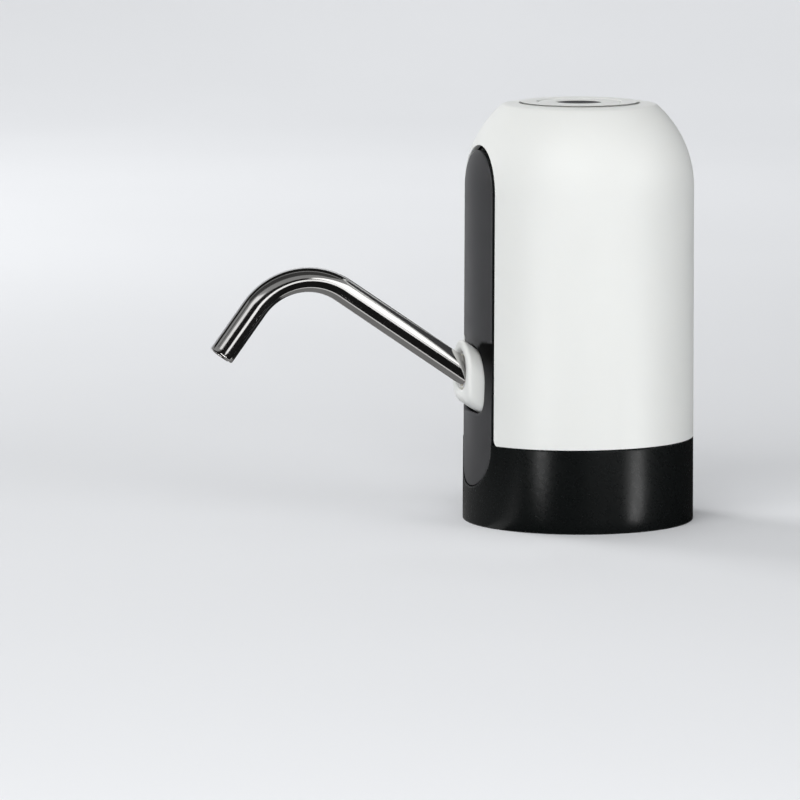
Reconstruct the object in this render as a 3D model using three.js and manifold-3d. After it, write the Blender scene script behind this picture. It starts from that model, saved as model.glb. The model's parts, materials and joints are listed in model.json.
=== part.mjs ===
// Bottled water pump: a battery-driven pump that stands on the neck of a large water bottle.
// Millimetres, +Z up. The housing axis is the Z axis and its foot is at z = 0; the spout points to -Y.
// The finished group is moved along Y so that its bounding box is centred on the origin.

import * as THREE from 'three';
import { mergeVertices } from 'three/addons/utils/BufferGeometryUtils.js';
import Module from 'manifold-3d';

const wasm = await Module();
wasm.setup();

// General clearances and facet counts
const FIT_GAP = 0.3;
const CUT_OVERRUN = 4;
const BODY_SIDES = 48;
const RING_SIDES = 32;
const ROUND_SIDES = 16;
const SMALL_SIDES = 8;
const SCREW_SIDES = 6;
const OVAL_SIDES = 12;
const LAMP_SIDES = 4;
const CORNER_SIDES = 3;
const PUMP_CORNER_SIDES = 4;
const DOME_STEPS = 3;
const LIP_STEPS = 3;
const WELD_DISTANCE = 1e-4;

// Body outline: a slightly drafted barrel, a dome arc and a gently sloped crown
const BODY_HEIGHT = 131.5;
const BODY_BASE_RADIUS = 36.3;
const BODY_DRAFT = 0.35;
const DOME_RISE = 26.8;
const CROWN_RIM_WIDTH = 5.7;
const CROWN_SLOPE = THREE.MathUtils.degToRad(9);
const CROWN_BLEND = 2.2;
const CROWN_DISC_RADIUS = 18.4;
const SHELL_WALL = 2;

// Base ring and the seat of the bottle neck
const COLLAR_HEIGHT = 26.1;
const COLLAR_WALL = 2.2;
const COLLAR_EDGE_CHAMFER = 0.6;
const SHELF_THICKNESS = 2;
const SHELF_WIDTH = 8.6;
const GUIDE_RIB_COUNT = 6;
const GUIDE_RIB_DEPTH = 5.1;
const GUIDE_RIB_THICKNESS = 1.8;
const GUIDE_RIB_START = 1.5;
const GUIDE_RIB_LENGTH = 13.5;
const GUIDE_RIB_LEAD_IN = 3;
const NECK_SEAT_HEIGHT = 18;
const GASKET_THICKNESS = 2;
const GASKET_RIM_GAP = 1.6;
const GASKET_WIDTH = 4.9;
const BASE_PLATE_THICKNESS = 2.4;

// Base screws and the posts that take them
const BASE_SCREW_ANGLES = [35, 145, 215, 325].map(THREE.MathUtils.degToRad);
const POST_RADIUS = 4;
const POST_WALL_OVERLAP = 0.6;
const POST_LENGTH = 14;
const BASE_SCREW_RADIUS = 1.4;
const BASE_SCREW_HEAD_RADIUS = 2.8;
const BASE_SCREW_HEAD_HEIGHT = 1.8;
const BASE_SCREW_LENGTH = 16;
const SCREW_RECESS_DEPTH = 0.8;
const SCREW_RECESS_FLOOR = 0.2;

// Front strip
const STRIP_HALF_WIDTH = 12.6;
const STRIP_TOP_DROP = 0.3;
const STRIP_BOTTOM_CENTRE = 24.5;
const STRIP_WALL = 1.8;
const STRIP_SINK = 0.2;
const STRIP_GROOVE = 1.55;
const STRIP_FLANGE_OVERLAP = 3.8;
const STRIP_FLANGE_WALL = 1.4;
const APERTURE_CORNER_RADIUS = 1.5;

// Spout, socket and the well round the socket
const SPOUT_AXIS_HEIGHT = 46.5;
const SPOUT_RISE_ANGLE = THREE.MathUtils.degToRad(34.3);
const SPOUT_DROP_ANGLE = THREE.MathUtils.degToRad(53);
const SPOUT_RADIUS = 4;
const SPOUT_WALL = 1.2;
const SPOUT_ARM_LENGTH = 50.5;
const SPOUT_BEND_RADIUS = 20.9;
const SPOUT_LEG_LENGTH = 18.2;
const SPOUT_INSERT_LENGTH = 18;
const SPOUT_BEND_STEPS = 10;
const SPOUT_ARM_STEPS = 3;
const SPOUT_LEG_STEPS = 2;
const SPOUT_SIDES = 16;
const SEAL_WALL = 0.6;
const SEAL_INNER_END = 15;
const SEAL_SETBACK = 1;
const SOCKET_RADIUS = 8.05;
const SOCKET_REACH = 3.25;
const SOCKET_LIP = 1.2;
const SOCKET_REAR_RADIUS = 7.2;
const SOCKET_END_WALL = 1.6;
const SOCKET_FLANGE_OVERLAP = 3;
const SOCKET_FLANGE_WALL = 1.6;
const WELL_RADIUS = 8.9;
const WELL_DROP = 0.2;
const WELL_DEPTH = 3.3;
const WELL_WALL = 2.2;
const NOZZLE_RADIUS = 2.4;
const NOZZLE_BORE_RADIUS = 1.3;
const NOZZLE_LENGTH = 6;
const WATER_TUBE_STEPS = 10;
const WATER_TUBE_SIDES = 8;
const WATER_TUBE_BEND_SHARE = 0.2;
const WATER_TUBE_OVERHANG = 2;
const WATER_TUBE_WALL = 0.7;

// Hose connector in the base plate
const CONNECTOR_TIP_HEIGHT = 5;
const CONNECTOR_STEM_RADIUS = 5;
const CONNECTOR_FLANGE_RADIUS = 8;
const CONNECTOR_FLANGE_THICKNESS = 1.6;
const CONNECTOR_BORE_RADIUS = 1.7;
const CONNECTOR_BARB_RADIUS = 4.4;
const CONNECTOR_BARB_ROOT_RADIUS = 3.5;
const CONNECTOR_BARB_COUNT = 3;
const CONNECTOR_BARB_PITCH = 3.2;
const CONNECTOR_SPIGOT_RADIUS = 2.5;
const CONNECTOR_SPIGOT_LENGTH = 8;
const WASHER_THICKNESS = 1;
const NUT_RADIUS = 8;
const NUT_THICKNESS = 3.4;
const NUT_SIDES = 6;

// Carrier
const FLOOR_THICKNESS = 2;
const FLOOR_OPENING_RADIUS = 10;
const WEB_X = -5.7;
const WEB_THICKNESS = 1.8;
const WEB_FRONT = 12;
const WEB_BACK = 24;
const CLIP_WALL = 1.5;
const CLIP_HEIGHT = 5;
const BOARD_BOSS_RADIUS = 3;
const BOARD_BOSS_LENGTH = 12;

// Battery
const BATTERY_RADIUS = 9.1;
const BATTERY_LENGTH = 65;
const BATTERY_X = -17;
const BATTERY_Y = 6;
const BATTERY_TOP_ROOM = 8.5;
const BATTERY_REST_THICKNESS = 2;
const BATTERY_TERMINAL_RADIUS = 2.8;
const BATTERY_TERMINAL_HEIGHT = 1;
const BATTERY_EDGE_RADIUS = 0.8;

// Pump and motor, stacked on one axis
const PUMP_X = 12.6;
const PUMP_Y = 5;
const MOTOR_TOP_ROOM = 9.5;
const PUMP_WIDTH = 24;
const PUMP_CORNER_RADIUS = 3;
const PUMP_NOZZLE_RADIUS = 2.5;
const PUMP_NOZZLE_BORE_RADIUS = 1.25;
const PUMP_NOZZLE_LENGTH = 8;
const PUMP_INLET_OFFSET = 8.8;
const PUMP_OUTLET_OFFSET = 3.5;
const PUMP_PORT_ANGLE = THREE.MathUtils.degToRad(125);
const HEAD_THICKNESS = 6;
const CHAMBER_DEPTH = 3;
const OUTLET_CHAMBER_RADIUS = 5;
const INLET_CHAMBER_INNER_RADIUS = 7.2;
const INLET_CHAMBER_OUTER_RADIUS = 10.4;
const VALVE_PLATE_THICKNESS = 3;
const VALVE_HOLE_RADIUS = 0.8;
const VALVE_HOLE_SHARES = [-0.5, 0.67];
const CUP_COUNT = 3;
const CUP_CIRCLE_RADIUS = 5.6;
const CUP_RADIUS = 3.1;
const CUP_WALL = 0.7;
const CUP_RISE = 1.6;
const CUP_TOP_SHARE = 0.8;
const DIAPHRAGM_THICKNESS = 1.2;
const STUD_RADIUS = 1;
const STUD_HEAD_RADIUS = 1.6;
const STUD_HEAD_HEIGHT = 1.2;
const CASE_LENGTH = 14.8;
const CASE_BORE_RADIUS = 9.3;
const CASE_ROOF = 2;
const PUMP_SCREW_OFFSET = 9.7;
const PUMP_SCREW_RADIUS = 1;
const PUMP_SCREW_HEAD_RADIUS = 1.8;
const PUMP_SCREW_HEAD_HEIGHT = 1.4;
const PUMP_SCREW_LENGTH = 18;
const WOBBLE_ANGLE = THREE.MathUtils.degToRad(6);
const WOBBLE_THICKNESS = 2;
const WOBBLE_HUB_RADIUS = 2.7;
const WOBBLE_HUB_HEIGHT = 2;
const WOBBLE_ARM_RADIUS = 2.5;
const WOBBLE_ARM_WIDTH = 3.5;
const WOBBLE_SWING_GAP = 0.5;
const TILT_PIN_RADIUS = 0.75;
const HUB_RADIUS = 5.2;
const HUB_HEIGHT = 4.6;
const HUB_SOCKET_DEPTH = 2;
const MOTOR_RADIUS = 12.2;
const MOTOR_WALL = 0.9;
const MOTOR_LENGTH = 30;
const MOTOR_BOSS_RADIUS = 3.2;
const MOTOR_BOSS_HEIGHT = 1.4;
const MAGNET_THICKNESS = 1.6;
const MAGNET_SPAN = THREE.MathUtils.degToRad(130);
const ROTOR_LENGTH = 16;
const ROTOR_SLOTS = 3;
const ROTOR_SLOT_WIDTH = 3.4;
const ROTOR_SLOT_DEPTH = 5.2;
const ROTOR_AIR_GAP = 0.5;
const MAGNET_END_GAP = 4;
const SHAFT_RADIUS = 1;
const COMMUTATOR_RADIUS = 2.6;
const COMMUTATOR_LENGTH = 4;
const MOTOR_CAP_THICKNESS = 3;

// Crown: cover ring, push button, switch and main board
const COVER_FLANGE_RADIUS = 22.5;
const COVER_FLANGE_DROP = 3.1;
const COVER_FLANGE_THICKNESS = 1.4;
const COVER_SLEEVE_WALL = 1.4;
const COVER_SLEEVE_LENGTH = 3;
const COVER_EDGE_CHAMFER = 0.4;
const BUTTON_RADIUS = 12.9;
const BUTTON_WALL = 1.4;
const BUTTON_CROWN_DROP = 0.2;
const BUTTON_EDGE_CHAMFER = 0.5;
const BUTTON_CATCH_OVERLAP = 1.2;
const BUTTON_CATCH_THICKNESS = 1.4;
const BUTTON_STEM_RADIUS = 2.2;
const INLAY_RADIUS = 6.9;
const INLAY_THICKNESS = 0.9;
const INLAY_DISH = 0.5;
const INLAY_DISH_SHARE = 0.8;
const BUTTON_TRAVEL = 0.5;
const SWITCH_SIZE = 6;
const SWITCH_HEIGHT = 3.5;
const PLUNGER_RADIUS = 1.7;
const PLUNGER_HEIGHT = 1.3;
const BOARD_RADIUS = 24;
const BOARD_THICKNESS = 1.6;
const BOARD_DEPTH = 13.4;
// Each component's place in X and Y, its width and its height, as shares of the board's radius
const CHIP_SHARES = [
  [0.5, 0.33, 0.29, 0.08],
  [0.54, -0.33, 0.21, 0.12],
  [-0.54, -0.5, 0.17, 0.07],
  [0.17, 0.67, 0.25, 0.1],
];
const BOARD_SCREW_RADIUS = 1.1;
const BOARD_SCREW_HEAD_RADIUS = 2.2;
const BOARD_SCREW_HEAD_HEIGHT = 1.4;
const BOARD_SCREW_LENGTH = 9;

// Charging port at the back
const PORT_WIDTH = 9.6;
const PORT_HEIGHT = 4.6;
const PORT_CORNER_RADIUS = 1.6;
const USB_WIDTH = 7.6;
const USB_HEIGHT = 2.7;
const USB_DEPTH = 5.6;
const USB_WALL = 0.35;
const USB_CORNER_RADIUS = 0.65;
const USB_TONGUE_WIDTH = 3.8;
const USB_TONGUE_THICKNESS = 0.55;
const USB_RECESS = 0.8;
const CHARGE_BOARD_LIFT = 6;
const CHARGE_BOARD_WIDTH = 22;
const CHARGE_BOARD_DEPTH = 8;
const CHARGE_BOARD_THICKNESS = 1.2;
const CHARGE_PILLAR_SIZE = 4;
const LAMP_RADIUS = 1.4;
const LAMP_X = 8.2;
const LAMP_LENGTH = 5;

// Body outline: the dome's arc leaves the shoulder upright and passes through the crown's corner
const shoulderHeight = BODY_HEIGHT - DOME_RISE;
const shoulderRadius = BODY_BASE_RADIUS - BODY_DRAFT;
const crownCornerRadius = CROWN_DISC_RADIUS + CROWN_RIM_WIDTH;
const cornerRise = crownHeight(crownCornerRadius) - shoulderHeight;
const cornerWidth = shoulderRadius - crownCornerRadius;
const domeRadius = (cornerWidth ** 2 + cornerRise ** 2) / (2 * cornerWidth);
const stripTopCentre = shoulderHeight - STRIP_TOP_DROP;

// Heights that follow from the stack on the neck seat
const basePlateBottom = NECK_SEAT_HEIGHT + GASKET_THICKNESS;
const basePlateTop = basePlateBottom + BASE_PLATE_THICKNESS;
const shelfTop = basePlateTop + SHELF_THICKNESS;
const floorTop = shelfTop + FLOOR_THICKNESS;
const shellBottom = Math.max(floorTop, COLLAR_HEIGHT + FIT_GAP);
const stripFlangeBottom = floorTop + FIT_GAP;
const collarInnerRadius = BODY_BASE_RADIUS - COLLAR_WALL;
const shelfInnerRadius = collarInnerRadius - SHELF_WIDTH;
const neckGuideRadius = collarInnerRadius - GUIDE_RIB_DEPTH;
const gasketOuterRadius = neckGuideRadius - GASKET_RIM_GAP;
const gasketInnerRadius = gasketOuterRadius - GASKET_WIDTH;
const boardTop = BODY_HEIGHT - BOARD_DEPTH;
const boardBottom = boardTop - BOARD_THICKNESS;
const motorTop = boardBottom - MOTOR_TOP_ROOM;
const caseTop = motorTop - MOTOR_LENGTH;
const diaphragmTop = caseTop - CASE_LENGTH;
const valvePlateTop = diaphragmTop - DIAPHRAGM_THICKNESS;
const headTop = valvePlateTop - VALVE_PLATE_THICKNESS;
const headBottom = headTop - HEAD_THICKNESS;
const cupTop = diaphragmTop + CUP_RISE;
const wobbleSwing = (CUP_CIRCLE_RADIUS + WOBBLE_ARM_RADIUS) * Math.sin(WOBBLE_ANGLE);
const wobbleHeight = cupTop + WOBBLE_SWING_GAP + wobbleSwing + WOBBLE_THICKNESS / 2;
const studHeadBottom = wobbleHeight + WOBBLE_THICKNESS / 2 + wobbleSwing + WOBBLE_SWING_GAP;
const hubBottom = studHeadBottom + STUD_HEAD_HEIGHT + FIT_GAP;
const hubTop = hubBottom + HUB_HEIGHT;
const batteryBottom = boardBottom - BATTERY_TOP_ROOM - BATTERY_LENGTH;
const coverFlangeTop = BODY_HEIGHT - COVER_FLANGE_DROP;
const coverSleeveBottom = coverFlangeTop - COVER_FLANGE_THICKNESS - COVER_SLEEVE_LENGTH;
const chargeBoardTop = floorTop + CHARGE_BOARD_LIFT + CHARGE_BOARD_THICKNESS;
const postCircleRadius = bodyRadius(shellBottom) - SHELL_WALL - POST_RADIUS + POST_WALL_OVERLAP;

// Finishes
const whitePlastic = finish(0xe9ecee, 0.3, 0);
const satinBlack = finish(0x2b2c2e, 0.45, 0);
const glossBlack = finish(0x101113, 0.28, 0);
const darkPad = finish(0x35373a, 0.7, 0);
const silicone = finish(0xd9cfbd, 0.5, 0);
const stainless = finish(0xc9ccd0, 0.12, 1);
const zincSteel = finish(0xaeb2b6, 0.35, 1);
const brassTone = finish(0xb99a4b, 0.4, 1);
const greyPlastic = finish(0x9a9da0, 0.6, 0);
const rubber = finish(0x242424, 0.8, 0);
const boardGreen = finish(0x1f6b3a, 0.6, 0);
const cellWrap = finish(0x2f6fb0, 0.4, 0);
const magnetGrey = finish(0x4a4c4f, 0.6, 0.3);
const lampClear = finish(0xf2f2ea, 0.1, 0);

function finish(color, roughness, metalness) {
  return new THREE.MeshStandardMaterial({ color, roughness, metalness });
}

// Solids and geometry

function solidOf(geometry) {
  const bare = geometry.clone();
  bare.deleteAttribute('normal');
  bare.deleteAttribute('uv');
  const welded = mergeVertices(bare, WELD_DISTANCE);
  const corners = welded.index.array;
  const kept = [];
  for (let i = 0; i < corners.length; i += 3) {
    const [a, b, c] = [corners[i], corners[i + 1], corners[i + 2]];
    if (a !== b && b !== c && c !== a) kept.push(a, b, c);
  }
  const vertProperties = new Float32Array(welded.attributes.position.array);
  return new wasm.Manifold(new wasm.Mesh({ numProp: 3, vertProperties, triVerts: new Uint32Array(kept) }));
}

function geometryOf(solid) {
  const mesh = solid.getMesh();
  const geometry = new THREE.BufferGeometry();
  geometry.setAttribute('position', new THREE.BufferAttribute(mesh.vertProperties, mesh.numProp));
  geometry.setIndex(new THREE.BufferAttribute(mesh.triVerts, 1));
  geometry.computeVertexNormals();
  return geometry;
}

function join(first, ...others) {
  return others.reduce((sum, solid) => sum.add(solid), first);
}

function cut(base, ...tools) {
  return tools.reduce((rest, tool) => rest.subtract(tool), base);
}

function piece(name, solid, material) {
  const mesh = new THREE.Mesh(geometryOf(solid), material);
  mesh.name = name;
  return mesh;
}

// Turns an outline of [radius, height] points, listed counter-clockwise, about the Z axis
function turned(outline, sides, closed = true) {
  const points = outline.map(([radius, height]) => new THREE.Vector2(radius, height));
  if (closed) points.push(points[0].clone());
  return new THREE.LatheGeometry(points, sides).rotateX(Math.PI / 2);
}

function disc(radius, bottom, top, sides = ROUND_SIDES) {
  return turned([[0, bottom], [radius, bottom], [radius, top], [0, top]], sides, false);
}

function ring(innerRadius, outerRadius, bottom, top, sides = ROUND_SIDES) {
  return turned([
    [innerRadius, bottom],
    [outerRadius, bottom],
    [outerRadius, top],
    [innerRadius, top],
  ], sides);
}

function prism(shape, bottom, top, curveSegments = SMALL_SIDES) {
  const settings = { depth: top - bottom, bevelEnabled: false, curveSegments };
  return new THREE.ExtrudeGeometry(shape, settings).translate(0, 0, bottom);
}

// Extrudes a shape drawn in the XZ plane towards -Y, from the near distance to the far one
function frontPrism(shape, near, far, curveSegments = SMALL_SIDES) {
  return prism(shape, near, far, curveSegments).rotateX(Math.PI / 2);
}

function block(width, depth, height) {
  return new THREE.BoxGeometry(width, depth, height);
}

function blockBetween(x0, x1, y0, y1, z0, z1) {
  return block(x1 - x0, y1 - y0, z1 - z0).translate((x0 + x1) / 2, (y0 + y1) / 2, (z0 + z1) / 2);
}

function circle(radius) {
  return new THREE.Shape().absarc(0, 0, radius, 0, 2 * Math.PI);
}

function ellipse(halfWidth, halfHeight, centreHeight) {
  return new THREE.Shape().absellipse(0, centreHeight, halfWidth, halfHeight, 0, 2 * Math.PI);
}

function roundedRectangle(width, height, radius) {
  const [x, y] = [width / 2 - radius, height / 2 - radius];
  const shape = new THREE.Shape();
  shape.absarc(x, y, radius, 0, Math.PI / 2);
  shape.absarc(-x, y, radius, Math.PI / 2, Math.PI);
  shape.absarc(-x, -y, radius, Math.PI, 1.5 * Math.PI);
  shape.absarc(x, -y, radius, 1.5 * Math.PI, 2 * Math.PI);
  return shape;
}

// An upright slot with round ends, drawn in the XZ plane
function stadium(halfWidth, bottomCentre, topCentre) {
  const shape = new THREE.Shape();
  shape.absarc(0, topCentre, halfWidth, 0, Math.PI);
  shape.absarc(0, bottomCentre, halfWidth, Math.PI, 2 * Math.PI);
  return shape;
}

function polar(radius, angle) {
  return [radius * Math.cos(angle), radius * Math.sin(angle)];
}

// Body outline

function bodyRadius(height) {
  const draft = (BODY_BASE_RADIUS - shoulderRadius) / shoulderHeight;
  return BODY_BASE_RADIUS - draft * height;
}

function crownHeight(radius) {
  return BODY_HEIGHT - (radius - CROWN_DISC_RADIUS) * Math.tan(CROWN_SLOPE);
}

// The outer line of the body, moved inwards by the inset, from a start height to a radius on the crown
function bodyEdge(inset, startHeight, endRadius) {
  const arcCentre = shoulderRadius - domeRadius;
  const arcRadius = domeRadius - inset;
  const rise = crownHeight(arcCentre) - inset - shoulderHeight;
  const cornerAngle = Math.asin(rise * Math.cos(CROWN_SLOPE) / arcRadius) - CROWN_SLOPE;
  const cornerRadius = arcCentre + arcRadius * Math.cos(cornerAngle);
  const blendRadius = cornerRadius - CROWN_BLEND;
  const edge = new THREE.Path();
  edge.moveTo(bodyRadius(startHeight) - inset, startHeight);
  edge.lineTo(shoulderRadius - inset, shoulderHeight);
  edge.absarc(arcCentre, shoulderHeight, arcRadius, 0, cornerAngle - CROWN_BLEND / arcRadius);
  edge.quadraticCurveTo(cornerRadius, crownHeight(cornerRadius) - inset,
    blendRadius, crownHeight(blendRadius) - inset);
  edge.lineTo(endRadius, crownHeight(endRadius) - inset);
  return edge.getPoints(DOME_STEPS).map((point) => [point.x, point.y]);
}

// A layer of the body between two insets
function bodySkin(outerInset, innerInset, startHeight, endRadius) {
  const outer = bodyEdge(outerInset, startHeight, endRadius);
  const inner = bodyEdge(innerInset, startHeight, endRadius).reverse();
  return solidOf(turned([...outer, ...inner], BODY_SIDES));
}

// Spout axis: local +Z runs outwards along the tube, local +Y is up and into the body

const socketMouth = new THREE.Vector3(0, -bodyRadius(SPOUT_AXIS_HEIGHT), SPOUT_AXIS_HEIGHT);

function onSpoutAxis(geometry) {
  return geometry.rotateX(Math.PI / 2 - SPOUT_RISE_ANGLE).translate(...socketMouth.toArray());
}

// A front prism whose section slides along the spout axis; heights are measured from the axis
function slantedPrism(geometry) {
  const slope = Math.tan(SPOUT_RISE_ANGLE);
  const shear = new THREE.Matrix4().makeShear(0, 0, 0, -slope, 0, 0);
  return geometry.applyMatrix4(shear).translate(0, 0, SPOUT_AXIS_HEIGHT + slope * socketMouth.y);
}

const surfaceReach = -socketMouth.y;
const wellFloorReach = surfaceReach - WELL_DEPTH;
const wellBackReach = wellFloorReach - WELL_WALL;
const axisStretch = 1 / Math.cos(SPOUT_RISE_ANGLE);

function wellShape(grow) {
  return ellipse(WELL_RADIUS + grow, (WELL_RADIUS + grow) * axisStretch, -WELL_DROP);
}

// Base

function baseCollar() {
  const top = COLLAR_HEIGHT;
  const chamfer = COLLAR_EDGE_CHAMFER;
  const wall = solidOf(turned([
    [collarInnerRadius, 0],
    [bodyRadius(0) - chamfer, 0],
    [bodyRadius(chamfer), chamfer],
    [bodyRadius(top - chamfer), top - chamfer],
    [bodyRadius(top) - chamfer, top],
    [collarInnerRadius, top],
  ], BODY_SIDES));
  const notchShape = stadium(STRIP_HALF_WIDTH + FIT_GAP, STRIP_BOTTOM_CENTRE, stripTopCentre);
  const notch = solidOf(frontPrism(notchShape, shelfInnerRadius, BODY_BASE_RADIUS + CUT_OVERRUN));
  const shelfOuter = collarInnerRadius + FIT_GAP;
  const shelf = cut(
    solidOf(ring(shelfInnerRadius, shelfOuter, basePlateTop, shelfTop, RING_SIDES)),
    strip(bodyRadius(shelfTop) - STRIP_WALL - FIT_GAP),
    ...screwHoles(basePlateTop, shelfTop),
  );
  return join(cut(wall, notch), shelf, ...guideRibs());
}

// Clears the space in front of a given reach, over the width of the strip
function strip(reach) {
  const shape = stadium(STRIP_HALF_WIDTH + FIT_GAP, STRIP_BOTTOM_CENTRE, stripTopCentre);
  const reachBlock = solidOf(frontPrism(shape, 0, BODY_BASE_RADIUS + CUT_OVERRUN));
  return cut(reachBlock, solidOf(disc(reach, -CUT_OVERRUN, BODY_HEIGHT, BODY_SIDES)));
}

function guideRibs() {
  const outer = collarInnerRadius + COLLAR_WALL / 2;
  const shape = new THREE.Shape();
  shape.moveTo(neckGuideRadius + GUIDE_RIB_LEAD_IN, 0);
  shape.lineTo(outer, 0);
  shape.lineTo(outer, GUIDE_RIB_LENGTH);
  shape.lineTo(neckGuideRadius, GUIDE_RIB_LENGTH);
  shape.lineTo(neckGuideRadius, GUIDE_RIB_LEAD_IN);
  return Array.from({ length: GUIDE_RIB_COUNT }, (_, index) => {
    const rib = prism(shape, -GUIDE_RIB_THICKNESS / 2, GUIDE_RIB_THICKNESS / 2);
    rib.rotateX(Math.PI / 2).translate(0, 0, GUIDE_RIB_START);
    return solidOf(rib.rotateZ(2 * Math.PI * index / GUIDE_RIB_COUNT));
  });
}

function screwHoles(bottom, top) {
  return BASE_SCREW_ANGLES.map((angle) => {
    const hole = disc(BASE_SCREW_RADIUS + FIT_GAP, bottom - CUT_OVERRUN, top + CUT_OVERRUN, SCREW_SIDES);
    return solidOf(hole.translate(...polar(postCircleRadius, angle), 0));
  });
}

function basePlate() {
  const radius = collarInnerRadius - FIT_GAP;
  const holeRadius = CONNECTOR_STEM_RADIUS + FIT_GAP;
  const hole = disc(holeRadius, basePlateBottom - CUT_OVERRUN, basePlateTop + CUT_OVERRUN);
  const plate = solidOf(disc(radius, basePlateBottom, basePlateTop, RING_SIDES));
  return cut(plate, solidOf(hole), ...screwHoles(basePlateBottom, basePlateTop));
}

function neckGasket() {
  return solidOf(ring(gasketInnerRadius, gasketOuterRadius, NECK_SEAT_HEIGHT, basePlateBottom, RING_SIDES));
}

function baseScrew(angle) {
  const headBottomHeight = basePlateBottom - BASE_SCREW_HEAD_HEIGHT;
  const head = disc(BASE_SCREW_HEAD_RADIUS, headBottomHeight, basePlateBottom, SCREW_SIDES);
  const recessTop = headBottomHeight + SCREW_RECESS_DEPTH;
  const recess = disc(BASE_SCREW_RADIUS, headBottomHeight - CUT_OVERRUN, recessTop, SCREW_SIDES);
  const shank = disc(BASE_SCREW_RADIUS, recessTop + SCREW_RECESS_FLOOR, basePlateBottom + BASE_SCREW_LENGTH,
    SCREW_SIDES);
  const [x, y] = polar(postCircleRadius, angle);
  return join(cut(solidOf(head.translate(x, y, 0)), solidOf(recess.translate(x, y, 0))),
    solidOf(shank.translate(x, y, 0)));
}

// Hose connector with barbs below, a flange above the base plate and a spigot for the inner tube

const washerTop = basePlateTop + WASHER_THICKNESS;
const flangeTop = washerTop + CONNECTOR_FLANGE_THICKNESS;
const spigotTop = flangeTop + CONNECTOR_SPIGOT_LENGTH;

function hoseConnector() {
  const outline = [[CONNECTOR_BORE_RADIUS, CONNECTOR_TIP_HEIGHT]];
  for (let barb = 0; barb < CONNECTOR_BARB_COUNT; barb += 1) {
    const start = CONNECTOR_TIP_HEIGHT + barb * CONNECTOR_BARB_PITCH;
    outline.push([CONNECTOR_BARB_ROOT_RADIUS, start]);
    outline.push([CONNECTOR_BARB_RADIUS, start + CONNECTOR_BARB_PITCH]);
  }
  const stemBottom = CONNECTOR_TIP_HEIGHT + CONNECTOR_BARB_COUNT * CONNECTOR_BARB_PITCH;
  outline.push(
    [CONNECTOR_STEM_RADIUS, stemBottom],
    [CONNECTOR_STEM_RADIUS, washerTop],
    [CONNECTOR_FLANGE_RADIUS, washerTop],
    [CONNECTOR_FLANGE_RADIUS, flangeTop],
    [CONNECTOR_SPIGOT_RADIUS, flangeTop],
    [CONNECTOR_SPIGOT_RADIUS, spigotTop],
    [CONNECTOR_BORE_RADIUS, spigotTop],
  );
  return solidOf(turned(outline, ROUND_SIDES));
}

function connectorWasher() {
  return solidOf(ring(CONNECTOR_STEM_RADIUS + FIT_GAP, CONNECTOR_FLANGE_RADIUS, basePlateTop, washerTop));
}

function connectorNut() {
  const nut = solidOf(disc(NUT_RADIUS, basePlateBottom - NUT_THICKNESS, basePlateBottom, NUT_SIDES));
  const bore = disc(CONNECTOR_STEM_RADIUS + FIT_GAP, NECK_SEAT_HEIGHT - 2 * CUT_OVERRUN, basePlateTop);
  return cut(nut, solidOf(bore));
}

// Housing

function housingShell() {
  const holeRadius = CROWN_DISC_RADIUS + FIT_GAP;
  const skin = bodySkin(0, SHELL_WALL, shellBottom, holeRadius);
  const posts = BASE_SCREW_ANGLES.map((angle) => {
    const post = disc(POST_RADIUS, shellBottom, shellBottom + POST_LENGTH, SMALL_SIDES);
    return solidOf(post.translate(...polar(postCircleRadius, angle), 0));
  });
  const pilotTop = basePlateBottom + BASE_SCREW_LENGTH + FIT_GAP - CUT_OVERRUN;
  const port = frontPrism(roundedRectangle(PORT_WIDTH, PORT_HEIGHT, PORT_CORNER_RADIUS),
    0, BODY_BASE_RADIUS + CUT_OVERRUN, LIP_STEPS);
  port.rotateZ(Math.PI).translate(0, 0, chargeBoardTop + USB_HEIGHT / 2);
  return cut(
    join(skin, ...posts),
    solidOf(frontPrism(apertureShape(), 0, BODY_BASE_RADIUS + CUT_OVERRUN)),
    solidOf(port),
    solidOf(lampCylinder(LAMP_RADIUS + FIT_GAP, BODY_BASE_RADIUS + CUT_OVERRUN)),
    ...screwHoles(shellBottom, pilotTop),
  );
}

// The strip's opening in the shell, flared by rounded corners where it meets the lower edge
function apertureShape() {
  const halfWidth = STRIP_HALF_WIDTH + STRIP_GROOVE;
  const corner = APERTURE_CORNER_RADIUS;
  const shape = new THREE.Shape();
  shape.absarc(0, stripTopCentre, halfWidth, 0, Math.PI);
  shape.absarc(-halfWidth - corner, shellBottom + corner, corner, 0, -Math.PI / 2, true);
  shape.lineTo(-halfWidth - corner, shellBottom - CUT_OVERRUN);
  shape.lineTo(halfWidth + corner, shellBottom - CUT_OVERRUN);
  shape.absarc(halfWidth + corner, shellBottom + corner, corner, -Math.PI / 2, -Math.PI, true);
  return shape;
}

function frontPanel() {
  const innerInset = SHELL_WALL + FIT_GAP;
  const flangeInset = innerInset + STRIP_FLANGE_WALL;
  const far = BODY_BASE_RADIUS + CUT_OVERRUN;
  const face = stadium(STRIP_HALF_WIDTH, STRIP_BOTTOM_CENTRE, stripTopCentre);
  const facePrism = solidOf(frontPrism(face, 0, far));
  const flangeHalfWidth = STRIP_HALF_WIDTH + STRIP_FLANGE_OVERLAP;
  const flangeFace = stadium(flangeHalfWidth, stripFlangeBottom + flangeHalfWidth, stripTopCentre);
  const flangePrism = solidOf(frontPrism(flangeFace, 0, far));
  const endRadius = CROWN_DISC_RADIUS;
  const skin = bodySkin(STRIP_SINK, STRIP_WALL, 0, endRadius).intersect(facePrism);
  const raised = bodySkin(STRIP_SINK, flangeInset, stripFlangeBottom, endRadius)
    .intersect(facePrism.intersect(flangePrism));
  const flange = bodySkin(innerInset, flangeInset, stripFlangeBottom, endRadius).intersect(flangePrism);
  return cut(join(skin, raised, flange, wellCup()), wellSpace(), socketHole());
}

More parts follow.
